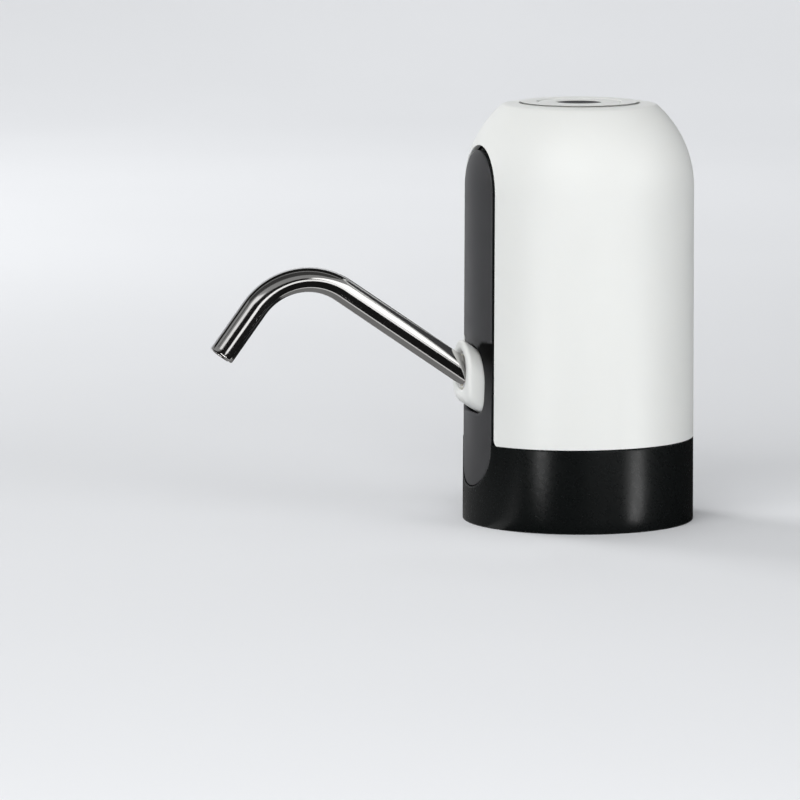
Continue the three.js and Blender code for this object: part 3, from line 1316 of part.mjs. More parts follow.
pump.add(
  piece('base_collar', baseCollar(), glossBlack),
  piece('base_plate', basePlate(), satinBlack),
  piece('neck_gasket', neckGasket(), silicone),
  piece('hose_connector', hoseConnector(), whitePlastic),
  piece('connector_washer', connectorWasher(), rubber),
  piece('connector_nut', connectorNut(), whitePlastic),
  piece('housing_shell', housingShell(), whitePlastic),
  piece('front_panel', frontPanel(), satinBlack),
  piece('outlet_socket', outletSocket(), whitePlastic),
  piece('spout_seal', spoutSeal(), silicone),
  piece('spout_tube', spoutTube(), stainless),
  piece('inner_frame', innerFrame(), greyPlastic),
  piece('battery_cell', batteryCell(), cellWrap),
  piece('pump_head', pumpHead(), greyPlastic),
  piece('valve_plate', valvePlate(), whitePlastic),
  piece('diaphragm', diaphragm(), rubber),
  piece('pump_case', pumpCase(), greyPlastic),
  piece('wobble_plate', wobblePlate(), whitePlastic),
  piece('tilt_pin', tiltPin(), stainless),
  piece('drive_hub', driveHub(), whitePlastic),
  piece('motor_can', motorCan(), zincSteel),
  piece('motor_end_cap', motorEndCap(), satinBlack),
  piece('motor_rotor', motorRotor(), zincSteel),
  piece('commutator', commutator(), brassTone),
  piece('motor_shaft', motorShaft(), stainless),
  piece('inlet_tube', inletTube(), silicone),
  piece('outlet_tube', outletTube(), silicone),
  piece('top_cover', topCover(), whitePlastic),
  piece('power_button', powerButton(), whitePlastic),
  piece('button_inlay', buttonInlay(), darkPad),
  piece('circuit_board', circuitBoard(), boardGreen),
  piece('tact_switch', tactSwitch(), satinBlack),
  piece('switch_plunger', switchPlunger(), darkPad),
  piece('charge_board', chargeBoard(), boardGreen),
  piece('usb_socket', usbSocket(), zincSteel),
  piece('charge_lamp', chargeLamp(), lampClear),
);

[0, Math.PI].forEach((angle, index) => {
  pump.add(piece(`motor_magnet_${index + 1}`, motorMagnet(angle), magnetGrey));
});

BASE_SCREW_ANGLES.forEach((angle, index) => {
  pump.add(piece(`base_screw_${index + 1}`, baseScrew(angle), zincSteel));
});

boardScrewPlaces().forEach((place, index) => {
  pump.add(piece(`board_screw_${index + 1}`, boardScrew(place), zincSteel));
});

pumpScrewPlaces().forEach((place, index) => {
  pump.add(piece(`pump_screw_${index + 1}`, pumpScrew(place), zincSteel));
});

const bounds = new THREE.Box3().setFromObject(pump);
pump.position.y = -(bounds.min.y + bounds.max.y) / 2;

export default pump;
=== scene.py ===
import json
import math

import bmesh
import bpy
from mathutils import Matrix, Vector


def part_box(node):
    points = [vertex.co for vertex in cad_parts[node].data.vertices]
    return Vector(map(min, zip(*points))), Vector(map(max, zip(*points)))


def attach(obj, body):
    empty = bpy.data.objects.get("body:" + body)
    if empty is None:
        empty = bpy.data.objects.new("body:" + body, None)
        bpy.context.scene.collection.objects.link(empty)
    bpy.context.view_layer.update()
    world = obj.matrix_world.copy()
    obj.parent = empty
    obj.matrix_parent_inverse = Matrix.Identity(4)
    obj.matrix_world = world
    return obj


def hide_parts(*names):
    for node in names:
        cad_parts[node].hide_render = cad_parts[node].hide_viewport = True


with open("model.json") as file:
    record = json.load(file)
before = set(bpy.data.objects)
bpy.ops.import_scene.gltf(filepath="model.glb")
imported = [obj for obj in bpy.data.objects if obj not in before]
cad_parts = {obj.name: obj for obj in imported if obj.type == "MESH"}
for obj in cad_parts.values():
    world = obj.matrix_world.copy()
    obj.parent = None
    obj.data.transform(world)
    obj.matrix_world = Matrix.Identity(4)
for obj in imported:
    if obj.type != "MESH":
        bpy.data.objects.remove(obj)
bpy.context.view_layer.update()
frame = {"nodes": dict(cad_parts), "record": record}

# Lengths below are millimetres about the housing axis; AXIS_Y moves them into the row frame.
MM = 0.001
AXIS_Y = 42.09
FIT = 0.3
QUARTER = math.pi / 2
TURN = 2 * math.pi

# Camera fitted to the photograph
CAMERA_AZIMUTH = math.radians(69.7)
CAMERA_DISTANCE = 1814.0
CAMERA_HEIGHT = 276.0
CAMERA_YAW = math.radians(-1.77)
CAMERA_PITCH = math.radians(7.5)
CAMERA_LENS = 261.7
SENSOR_WIDTH = 36

# The camera's directions along the floor, for the floor and the lights too
RIGHT = Vector((math.cos(CAMERA_AZIMUTH), math.sin(CAMERA_AZIMUTH), 0))
AHEAD = Vector((-math.sin(CAMERA_AZIMUTH), math.cos(CAMERA_AZIMUTH), 0))
UP = Vector((0, 0, 1))

# Where lights and cards aim, in metres in the row frame, and how high cards lie over the floor
OBJECT_MIDDLE = Vector((0, -0.02, 0.08))
SPOUT_ARM_PLACE = Vector((0, -0.03, 0.075))
SPOUT_LEG_PLACE = Vector((0, -0.055, 0.075))
CARD_LIFT = 0.0003

# Body outline
BODY_HEIGHT = 131.5
BASE_RADIUS = 36.3
SHOULDER_RADIUS = 35.95
SHOULDER_HEIGHT = 104.7
DOME_RADIUS = 34.22
CROWN_SLOPE = math.radians(9)
CROWN_BLEND = 2.2
CROWN_DISC_RADIUS = 18.4
CROWN_SEAM = 0.45
SEAM_STEP = 0.42
SEAM_STEP_START = 22.5
SEAM_STEP_RUN = 2.5
SEAM_LIP = 0.4
SHELL_WALL = 2.0
SHELL_BOTTOM = 26.4
SHELL_FOOT = 4.0
COLLAR_TOP = 26.1
COLLAR_INNER_RADIUS = 34.1
COLLAR_WALL = BASE_RADIUS - COLLAR_INNER_RADIUS
COLLAR_LIP = 0.6
NOTCH_BOTTOM = 11.6

# Heights where the rays from an opening end, or the strip's web begins, and other rows take over
SHELL_SPLIT = 121.0
COLLAR_SPLIT = 4.0
STRIP_SPLIT = 66.0

# Front strip, its groove and the well
STRIP_HALF_WIDTH = 12.6
STRIP_SINK = 0.2
STRIP_TOP = 104.4
STRIP_BOTTOM = 24.5
STRIP_GROOVE = 1.55
FLANGE_OVERLAP = 3.8
FLANGE_FRONT = 2.2
FLANGE_BACK = 3.4
APERTURE_CORNER = 1.5
WELL_RADIUS = 8.7
WELL_ROUND = 1.0
WELL_DROP = 0.2
WELL_DEPTH = 3.3
WELL_HOLE_DEPTH = 2
OVAL_FULLNESS = 2.2
SCOOP_DEPTH = 0.4
SCOOP_BOTTOM = 36.5
SCOOP_TOP = 58.2
SCOOP_STEP = 0.7
TONGUE_DROP = 2.2
TONGUE_HALF_WIDTH = 8.5
TONGUE_RUN = 4.0

# Rows lie closer between these heights, round the step of the scoop
FINE_TOP = 60.0
FINE_BOTTOM = 55.0

# Charging port and lamp at the back: a size is a hole's width, height and corner radius, and the
# margin is how far above and below the port's middle plain rows begin again
PORT_SIZE = (9.6, 4.6, 1.6)
PORT_HEIGHT = 34.95
LAMP_SIZE = (3.4, 3.4, 1.7)
LAMP_X = 8.2
LAMP_HEIGHT = 35.3
HOLE_MARGIN = 3.4

# Crown pieces
BUTTON_RADIUS = 12.9
BUTTON_WALL = 1.4
BUTTON_CAP = 2.3
BUTTON_SKIRT = 4
PAD_SEAT_RADIUS = 7.2
PAD_RADIUS = 6.9
PAD_FLOOR = 0.9
PAD_DROP = 0.2
PAD_EDGE = 0.2
PAD_DISH = 0.45
COVER_SEAT = 124.0
COVER_LEDGE = 127.0
COVER_FLANGE_RADIUS = 22.5
COVER_FLANGE_DROP = 3.1
COVER_WALL = 1.4
COVER_UNDERCUT = 1.1

# Underside
SHELF_RADIUS = 25.5
PLATE_RADIUS = 33.8
PLATE_BOTTOM = 20.0
PLATE_TOP = 22.4
SHELF_TOP = 24.4
NECK_SEAT = 18.0
GASKET_RADII = (22.5, 27.4)
RIB_RADIUS = 29.0
RIB_HALF_THICKNESS = 0.9
RIB_BOTTOM = 1.5
RIB_TOP = 15.0
RIB_LEAD_IN = 3.0
RIB_EDGE = 0.35
RIB_ROOT = 0.4
RIB_ANGLES = [math.radians(60 * k) for k in range(6)]
HOSE_BORE = 1.7
HOSE_RADIUS = 3.5
HOSE_BOTTOM = 5.0
BARB_RADIUS = 4.4
BARB_PITCH = 3.2
STEM_RADIUS = 5.0
STEM_HOLE = 5.3
HOSE_FLANGE_RADIUS = 8.0
HOSE_FLANGE = (23.4, 25.0)
HOSE_TIP_RADIUS = 2.5
HOSE_TIP = 33.0
NUT_RADIUS = 8.0
NUT_HEIGHT = 3.4
SCREW_RADIUS = 2.8
SCREW_SHANK = 1.4

# Outlet socket, seal and spout
AXIS_HEIGHT = 46.5
RISE = math.radians(34.3)
DROP = math.radians(53)
STRETCH = 1 / math.cos(RISE)
SOCKET_RADIUS = 8.05
SOCKET_REACH = 3.25
SOCKET_OUTER_LIP = 2.1
SOCKET_INNER_LIP = 0.9
SOCKET_OPENING = 5.0
SOCKET_ROOT = 1.5
SEAL_WALL = 0.6
SEAL_GAP = 0.05
SEAL_SETBACK = 1.0
SEAL_LIFT = 0.8
SEAL_INNER_END = 15.0
SPOUT_RADIUS = 4.0
SPOUT_BORE = 2.8
SPOUT_ARM = 50.5
SPOUT_BEND = 20.9
BEND_LENGTH = (RISE + DROP) * SPOUT_BEND
SPOUT_LEG = 18.2
SPOUT_INSERT = 18.0
BEND_FLATTENING = 0.05
MOUTH_ROUND = 0.6
MOUTH_INNER_ROUND = 0.35

# Mesh density, edge rounds and, in metres, the distance within which points become one
WELD = 2e-6
EDGE_STEPS = 5
SHELL_EDGE = 0.35
STRIP_EDGE = 0.35
NOTCH_EDGE = 0.3
HOLE_EDGE = 0.3
FAN_RAYS = 56
CROWDED_SHARES = [(k / 14) ** 1.15 for k in range(15)]
BACK_ANGLES = [QUARTER + QUARTER * k / 48 for k in range(49)]


def put(name, data):
    """A new object with its data, linked to the scene."""
    made = bpy.data.objects.new(name, data)
    bpy.context.scene.collection.objects.link(made)
    return made


def make_camera():
    data = bpy.data.cameras.new("camera")
    data.lens = CAMERA_LENS
    data.sensor_width = SENSOR_WIDTH
    data.clip_start, data.clip_end = 0.05, 50
    camera = put("camera", data)
    ahead = AHEAD * math.cos(CAMERA_YAW) + RIGHT * math.sin(CAMERA_YAW)
    right = RIGHT * math.cos(CAMERA_YAW) - AHEAD * math.sin(CAMERA_YAW)
    look = ahead * math.cos(CAMERA_PITCH) - UP * math.sin(CAMERA_PITCH)
    up = right.cross(look)
    place = -AHEAD * CAMERA_DISTANCE * MM + Vector((0, AXIS_Y * MM, CAMERA_HEIGHT * MM))
    camera.matrix_world = Matrix((
        (right.x, up.x, -look.x, place.x),
        (right.y, up.y, -look.y, place.y),
        (right.z, up.z, -look.z, place.z),
        (0, 0, 0, 1)))
    bpy.context.scene.camera = camera


make_camera()


# Materials

def set_inputs(node, values):
    for name, value in dict(values).items():
        node.inputs[name].default_value = value


def material(name, color, roughness, values=()):
    """A principled material; colour and roughness are the plain values under what a recipe links."""
    made = bpy.data.materials.new(name)
    made.use_nodes = True
    shader = made.node_tree.nodes["Principled BSDF"]
    shader.inputs["Base Color"].default_value = (*color, 1)
    shader.inputs["Roughness"].default_value = roughness
    set_inputs(shader, values)
    return made, made.node_tree, shader


def add(tree, kind, values=(), **settings):
    node = tree.nodes.new(kind)
    for key, value in settings.items():
        setattr(node, key, value)
    set_inputs(node, values)
    return node


def join(tree, source, node, name):
    tree.links.new(source, node.inputs[name])


def noise(tree, scale, detail, stretch=None):
    """A noise in object space; stretch is the mapping's scale along X, Y and Z."""
    place = add(tree, "ShaderNodeTexCoord").outputs["Object"]
    if stretch:
        mapping = add(tree, "ShaderNodeMapping", {"Scale": stretch})
        join(tree, place, mapping, "Vector")
        place = mapping.outputs["Vector"]
    texture = add(tree, "ShaderNodeTexNoise", {"Scale": scale, "Detail": detail})
    join(tree, place, texture, "Vector")
    return texture.outputs["Fac"]


def spread(tree, source, low, high, start=0.3, stop=0.7):
    """The source's stretch from start to stop, mapped to low to high."""
    node = add(tree, "ShaderNodeMapRange",
               {"From Min": start, "From Max": stop, "To Min": low, "To Max": high})
    join(tree, source, node, "Value")
    return node.outputs["Result"]


def tint(tree, source, low, high, start=0.3, stop=0.7):
    """The source's stretch from start to stop, turned into the colours low to high."""
    node = add(tree, "ShaderNodeValToRGB")
    for element, position, color in zip(node.color_ramp.elements, (start, stop), (low, high)):
        element.position = position
        element.color = (*color, 1)
    join(tree, source, node, "Fac")
    return node.outputs["Color"]


def bump(tree, shader, source, strength, distance):
    node = add(tree, "ShaderNodeBump", {"Strength": strength, "Distance": distance})
    join(tree, source, node, "Height")
    join(tree, node.outputs["Normal"], shader, "Normal")


def shaded(color, share):
    return tuple(c * share for c in color)


def white_plastic(name, shade):
    made, tree, shader = material(name, shade, 0.42, {
        "Subsurface Weight": 0.06, "Subsurface Radius": (1, 0.9, 0.8), "Subsurface Scale": 0.0012})
    cloud = noise(tree, 60, 2)
    join(tree, spread(tree, cloud, 0.40, 0.45, 0.2, 0.8), shader, "Roughness")
    join(tree, tint(tree, cloud, shaded(shade, 0.985), shade, 0.2, 0.8), shader, "Base Color")
    bump(tree, shader, noise(tree, 900, 2), 0.05, 0.00003)
    return made


def grained_plastic(name, dark, light, rough_low, rough_high, grain, strength):
    made, tree, shader = material(name, light, rough_high)
    cloud = noise(tree, 90, 4)
    join(tree, spread(tree, cloud, rough_low, rough_high), shader, "Roughness")
    join(tree, tint(tree, cloud, dark, light), shader, "Base Color")
    bump(tree, shader, noise(tree, grain, 2), strength, 0.00004)
    return made


def strip_plastic_painted_shade(name, dark, light, shadow):
    """The strip's fine-grained plastic, with painted shade in the scoop round the outlet: there its colour
    goes to near black and its specular level is turned down.
    """
    made = grained_plastic(name, dark, light, 0.42, 0.5, 1500, 0.1)
    tree = made.node_tree
    shader = tree.nodes["Principled BSDF"]
    sunk = add(tree, "ShaderNodeAttribute", attribute_name="scoop").outputs["Fac"]
    blend = add(tree, "ShaderNodeMix", data_type="RGBA")
    join(tree, spread(tree, sunk, 0.0, 1.0, 0.0, 0.75), blend, "Factor")
    surface, scoop_painted_shade = [socket for socket in blend.inputs if socket.type == "RGBA"]
    tree.links.new(shader.inputs["Base Color"].links[0].from_socket, surface)
    # painted shade: near-black colour in the scoop, on top of its real shallow sink
    scoop_painted_shade.default_value = (*shadow, 1)
    result = next(socket for socket in blend.outputs if socket.type == "RGBA")
    join(tree, result, shader, "Base Color")
    # painted shade: the reflection is turned down in the scoop as well
    join(tree, spread(tree, sunk, 0.5, 0.05, 0.0, 0.8), shader, "Specular IOR Level")
    return made


def ring_plastic(name):
    made, tree, shader = material(name, (0.005, 0.005, 0.005), 0.28, {"Specular IOR Level": 0.28})
    join(tree, spread(tree, noise(tree, 500, 3), 0.26, 0.30), shader, "Roughness")
    fine = noise(tree, 2200, 2)
    join(tree, tint(tree, fine, (0.003, 0.004, 0.004), (0.006, 0.007, 0.007)), shader, "Base Color")
    bump(tree, shader, fine, 0.03, 0.00001)
    return made


def polished_steel(name, streak):
    made, tree, shader = material(name, (0.72, 0.71, 0.70), 0.08, {"Metallic": 1})
    lines = noise(tree, 300, 3, streak)
    join(tree, spread(tree, lines, 0.05, 0.14), shader, "Roughness")
    join(tree, tint(tree, noise(tree, 80, 3), (0.66, 0.65, 0.64), (0.76, 0.75, 0.74)),
         shader, "Base Color")
    bump(tree, shader, lines, 0.05, 0.00002)
    return made


def plain_metal(name, color, roughness):
    made, tree, shader = material(name, color, roughness, {"Metallic": 1})
    cloud = noise(tree, 200, 4)
    join(tree, spread(tree, cloud, roughness * 0.8, roughness * 1.25), shader, "Roughness")
    join(tree, tint(tree, cloud, shaded(color, 0.88), color), shader, "Base Color")
    bump(tree, shader, noise(tree, 1200, 2), 0.06, 0.00003)
    return made


def soft_silicone(name, color):
    made, tree, shader = material(name, color, 0.42, {
        "Transmission Weight": 0.35, "IOR": 1.42, "Subsurface Weight": 0.5,
        "Subsurface Radius": (1, 0.85, 0.6), "Subsurface Scale": 0.0015})
    cloud = noise(tree, 150, 3)
    join(tree, spread(tree, cloud, 0.36, 0.5), shader, "Roughness")
    join(tree, tint(tree, cloud, shaded(color, 0.94), color), shader, "Base Color")
    bump(tree, shader, noise(tree, 900, 2), 0.1, 0.00003)
    return made


WHITE = white_plastic("white_shell", (0.80, 0.81, 0.79))
WHITE_TOP = white_plastic("white_crown", (0.77, 0.78, 0.76))
# the last colour is painted shade for the scoop round the outlet
STRIP_DARK = strip_plastic_painted_shade("strip_dark", (0.044, 0.044, 0.046), (0.052, 0.052, 0.055),
                           (0.003, 0.003, 0.003))
RING_BLACK = ring_plastic("ring_black")
PAD_DARK = grained_plastic("pad_dark", (0.012, 0.012, 0.013), (0.022, 0.022, 0.023), 0.5, 0.62, 1800, 0.2)
STEEL = polished_steel("spout_steel", (1, 0.2, 0.2))
PLATED = plain_metal("plated_steel", (0.66, 0.66, 0.67), 0.3)
COPPER = plain_metal("copper", (0.72, 0.42, 0.25), 0.35)
MAGNET = grained_plastic("ferrite", (0.04, 0.04, 0.045), (0.07, 0.07, 0.075), 0.55, 0.7, 900, 0.2)
SILICONE = soft_silicone("silicone", (0.84, 0.82, 0.76))
INNER_GREY = grained_plastic("inner_grey", (0.34, 0.35, 0.36), (0.42, 0.43, 0.44), 0.45, 0.6, 1100, 0.15)
RUBBER = grained_plastic("diaphragm_rubber", (0.015, 0.015, 0.015), (0.03, 0.03, 0.03), 0.6, 0.8, 900, 0.25)
CELL = grained_plastic("cell_sleeve", (0.03, 0.12, 0.34), (0.04, 0.15, 0.40), 0.25, 0.35, 700, 0.08)
BOARD = grained_plastic("board_green", (0.01, 0.10, 0.03), (0.02, 0.16, 0.05), 0.3, 0.45, 1300, 0.15)
LAMP = soft_silicone("lamp_lens", (0.9, 0.9, 0.88))

SLOT_MATERIALS = {
    "white_plastic": WHITE, "black_plastic": RING_BLACK, "dark_plastic": STRIP_DARK, "dark_pad": PAD_DARK,
    "silicone": SILICONE, "stainless": STEEL, "grey_plastic": INNER_GREY, "diaphragm_rubber": RUBBER,
    "plated_steel": PLATED, "magnet": MAGNET, "copper": COPPER, "cell": CELL, "board": BOARD, "lamp": LAMP,
}


# Mesh helpers

class Skin:
    """Collects patches of points in millimetres and welds them into one mesh."""

    def __init__(self):
        self.points = []
        self.faces = []

    def patch(self, rows, flip=False):
        start = len(self.points)
        width = len(rows[0])
        for row in rows:
            self.points.extend(row)
        for i in range(len(rows) - 1):
            for j in range(width - 1):
                a = start + i * width + j
                quad = (a, a + 1, a + 1 + width, a + width)
                self.faces.append(quad[::-1] if flip else quad)

    def mirrored_patch(self, rows, flip=False):
        self.patch(rows, flip)
        self.patch([[(-x, y, z) for x, y, z in row] for row in rows], not flip)

    def build(self, name, body, look, replaced=(), crease=math.radians(32)):
        """Welds the patches into an object that rides on a body and stands for the nodes it replaces."""
        data = bpy.data.meshes.new(name)
        scaled = [(x * MM, (y + AXIS_Y) * MM, z * MM) for x, y, z in self.points]
        data.from_pydata(scaled, [], self.faces)
        work = bmesh.new()
        work.from_mesh(data)
        bmesh.ops.remove_doubles(work, verts=work.verts, dist=WELD)
        bmesh.ops.dissolve_degenerate(work, edges=work.edges, dist=WELD / 2)
        bmesh.ops.recalc_face_normals(work, faces=work.faces)
        work.to_mesh(data)
        work.free()
        data.shade_smooth()
        data.set_sharp_from_angle(angle=crease)
        data.materials.append(look)
        made = put(name, data)
        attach(made, body)
        if replaced:
            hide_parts(*replaced)
        return made


def mix(a, b, share):
    return a + (b - a) * share


def evenly(first, last, count):
    """Values from the first to the last in a number of equal steps."""
    return [mix(first, last, k / count) for k in range(count + 1)]


def clamp(value):
    return min(max(value, 0.0), 1.0)


def smooth(value):
    """A step from 0 to 1 with soft ends."""
    share = clamp(value)
    return share * share * (3 - 2 * share)


def rings(outline, angles):
    """Rows of points at the angles from the front, one row for each (radius, height)."""
    return [[(r * math.sin(a), -r * math.cos(a), z) for a in angles] for r, z in outline]


def turned(name, outline, body, look, replaced, sides=128):
    """A turned piece from (radius, height) points, closed on itself."""
    skin = Skin()
    skin.patch([[(r * math.cos(a), r * math.sin(a), z) for a in evenly(0, TURN, sides)]
                for r, z in outline + [outline[0]]])
    skin.build(name, body, look, replaced)


def rounded(corners, radii, steps):
    """An outline of (radius, height) corners, each corner rounded by its own radius."""
    made = []
    for i, (corner, radius) in enumerate(zip(corners, radii)):
        here = Vector(corner)
        before = Vector(corners[i - 1]) - here
        after = Vector(corners[(i + 1) % len(corners)]) - here
        if radius <= 0 or before.length == 0 or after.length == 0:
            made.append(tuple(here))
            continue
        half = before.angle(after) / 2
        reach = min(radius / math.tan(half), before.length * 0.49, after.length * 0.49)
        start = here + before.normalized() * reach
        stop = here + after.normalized() * reach
        real = reach * math.tan(half)
        centre = here + (before.normalized() + after.normalized()).normalized() * (real / math.sin(half))
        a, b = start - centre, stop - centre
        turn = math.atan2(a.x * b.y - a.y * b.x, a.dot(b))
        for k in range(steps + 1):
            angle = turn * k / steps
            c, s = math.cos(angle), math.sin(angle)
            made.append((centre.x + a.x * c - a.y * s, centre.y + a.x * s + a.y * c))
    return made


# The body's outside

def straight_radius(z):
    return BASE_RADIUS + (SHOULDER_RADIUS - BASE_RADIUS) * z / SHOULDER_HEIGHT


MOUTH_REACH = straight_radius(AXIS_HEIGHT)


def surface_radius(z):
    """Outside radius of the body at a height below the crown's corner."""
    if z <= SHOULDER_HEIGHT:
        return straight_radius(z)
    return SHOULDER_RADIUS - DOME_RADIUS + math.sqrt(max(DOME_RADIUS ** 2 - (z - SHOULDER_HEIGHT) ** 2, 0))


def dome_outline(start_height, end_radius):
    """Points (radius, height) of the outside from a height on the dome to a radius on the crown."""
    dome_centre = Vector((SHOULDER_RADIUS - DOME_RADIUS, SHOULDER_HEIGHT))
    normal = Vector((math.sin(CROWN_SLOPE), math.cos(CROWN_SLOPE)))
    along = Vector((math.cos(CROWN_SLOPE), -math.sin(CROWN_SLOPE)))
    on_line = Vector((CROWN_DISC_RADIUS, BODY_HEIGHT)) - normal * CROWN_BLEND
    # halving finds the centre of the round that touches the crown's slope and the dome
    low, high = 0.0, 20.0
    for _ in range(60):
        middle = (low + high) / 2
        reach = (on_line + along * middle - dome_centre).length
        low, high = (middle, high) if reach < DOME_RADIUS - CROWN_BLEND else (low, middle)
    centre = on_line + along * low
    leave = math.atan2(centre.y - dome_centre.y, centre.x - dome_centre.x)
    start = math.asin((start_height - SHOULDER_HEIGHT) / DOME_RADIUS)
    points = [(dome_centre.x + DOME_RADIUS * math.cos(a), dome_centre.y + DOME_RADIUS * math.sin(a))
              for a in evenly(start, leave, 26)]
    points += [(centre.x + CROWN_BLEND * math.cos(a), centre.y + CROWN_BLEND * math.sin(a))
               for a in evenly(leave, QUARTER - CROWN_SLOPE, 6)[1:]]
    points += [(r, BODY_HEIGHT - (r - CROWN_DISC_RADIUS) * math.tan(CROWN_SLOPE))
               for r in evenly(points[-1][0], end_radius, 3)[1:]]
    return points


def front_point(x, z, depth=0.0):
    """A point on the body's front, projected along Y, sunk by depth."""
    r = surface_radius(z)
    return (x, -math.sqrt(max(r * r - x * x, 0.0)) + depth, z)


def back_point(x, z, depth=0.0):
    r = surface_radius(z)
    return (x, math.sqrt(r * r - x * x) - depth, z)


def skin_point(angle, z):
    """A point of the body's outside at an angle from the front."""
    r = surface_radius(z)
    return (r * math.sin(angle), -r * math.cos(angle), z)


def edge_offsets(radius):
    """(offset from the outline, sink) of a quarter round, from the wall to the surface."""
    return [(radius * (1 - math.cos(a)), radius * (1 - math.sin(a))) for a in evenly(0, QUARTER, EDGE_STEPS)]


def u_opening_rays(open_height, centre_height, split, half_width, sign, corner, rows):
    """Rays that leave a U-shaped opening: (outline point, outward direction, target angle, target height)."""
    rays = []
    for a in evenly(QUARTER, 0, 6) if corner else []:
        x = half_width + corner * (1 - math.cos(a))
        z = open_height + sign * corner * (1 - math.sin(a))
        rays.append(((x, z), (math.cos(a), -sign * math.sin(a)), QUARTER, z))
    levels = evenly(open_height + sign * corner, centre_height, rows)
    rays += [((half_width, z), (1.0, 0.0), QUARTER, z) for z in (levels[1:] if corner else levels)]
    side = abs(split - centre_height)
    corner_ray = round(FAN_RAYS * side / (side + BASE_RADIUS * QUARTER))
    for k in range(1, FAN_RAYS + 1):
        a = QUARTER * k / FAN_RAYS
        outline = (half_width * math.cos(a), centre_height + sign * half_width * math.sin(a))
        if k <= corner_ray:
            target = (QUARTER, centre_height + sign * side * k / corner_ray)
        else:
            target = (QUARTER * (FAN_RAYS - k) / (FAN_RAYS - corner_ray), split)
        rays.append((outline, (math.cos(a), sign * math.sin(a)), *target))
    return rays


def ray_points(ray, edge, wall_depth):
    """Points from the back of the opening's wall out over the edge's round to the ray's target."""
    (x0, z0), (nx, nz), target_angle, target_height = ray
    points = [front_point(x0, z0, wall_depth)]
    points += [front_point(x0 + nx * offset, z0 + nz * offset, sink) for offset, sink in edge_offsets(edge)]
    x1, z1 = x0 + nx * edge, z0 + nz * edge
    start_angle = math.asin(min(1.0, x1 / surface_radius(z1)))
    for share in CROWDED_SHARES[1:]:
        points.append(skin_point(mix(start_angle, target_angle, share), mix(z1, target_height, share)))
    return points


def side_levels(rays, split):
    """Heights at which rays reach the body's side, as far as the height where the others end."""
    heights = [height for _, _, angle, height in rays if abs(angle - QUARTER) < 1e-9]
    if abs(heights[-1] - split) > 1e-6:
        heights.append(split)
    return heights


def split_angles(rays, split):
    """Angles at which rays reach the height where they end, and on to the back."""
    front = [angle for _, _, angle, height in rays if abs(height - split) < 1e-6 and angle < QUARTER - 1e-9]
    return sorted(front) + BACK_ANGLES


def crowded_angles(start):
    """The angles of a ray's points that starts at an angle from the front, and on to the back."""
    return [mix(start, QUARTER, share) for share in CROWDED_SHARES] + BACK_ANGLES[1:]


def hole_outline(size, direction, grow):
    """Where a ray from the hole's centre meets its rounded outline, grown by an amount."""
    half_x, half_z = size[0] / 2 + grow, size[1] / 2 + grow
    corner = size[2] + grow
    dx, dz = abs(direction[0]), abs(direction[1])
    reach = min(half_x / max(dx, 1e-9), half_z / max(dz, 1e-9))
    cx, cz = half_x - corner, half_z - corner
    if reach * dx > cx and reach * dz > cz:
        along = dx * cx + dz * cz
        reach = along + math.sqrt(max(along ** 2 - (cx * cx + cz * cz - corner * corner), 0))
    return reach * direction[0], reach * direction[1]


def pierced_grid(skin, angles, heights, holes):
    """A grid over the back; each hole is (first and last column, first and last row, centre, size).

    Its block of the grid is left out and filled with rows from the rounded hole to the block's border."""
    grid = [[skin_point(a, z) for a in angles] for z in heights]
    taken = set()
    for (first, last), (low, high), centre, size in holes:
        taken |= {(r, c) for r in range(low, high) for c in range(first, last)}
        border = [(r, first) for r in range(low, high)] + [(high, c) for c in range(first, last)]
        border += [(r, last) for r in range(high, low, -1)] + [(low, c) for c in range(last, first, -1)]
        rim = []
        for (r, c), (next_r, next_c) in zip(border, border[1:] + border[:1]):
            here, after = Vector(grid[r][c]), Vector(grid[next_r][next_c])
            rim += [here.lerp(after, part / 4) for part in range(4)]
        rim.append(rim[0])
        rows = []
        for end in rim:
            away = Vector((end.x - centre[0], end.z - centre[1]))
            away.normalize()
            row = []
            for grow, depth in [(0, SHELL_WALL)] + edge_offsets(HOLE_EDGE):
                x, z = hole_outline(size, away, grow)
                row.append(back_point(centre[0] + x, centre[1] + z, depth))
            for share in (0.25, 0.5, 0.75):
                row.append(back_point(mix(centre[0] + x, end.x, share), mix(centre[1] + z, end.z, share)))
            rows.append(row + [tuple(end)])
        skin.patch(rows)
    for r in range(len(heights) - 1):
        c = 0
        while c < len(angles) - 1:
            if (r, c) in taken:
                c += 1
                continue
            stop = c
            while stop < len(angles) - 1 and (r, stop) not in taken:
                stop += 1
            skin.patch([grid[r][c:stop + 1], grid[r + 1][c:stop + 1]])
            c = stop


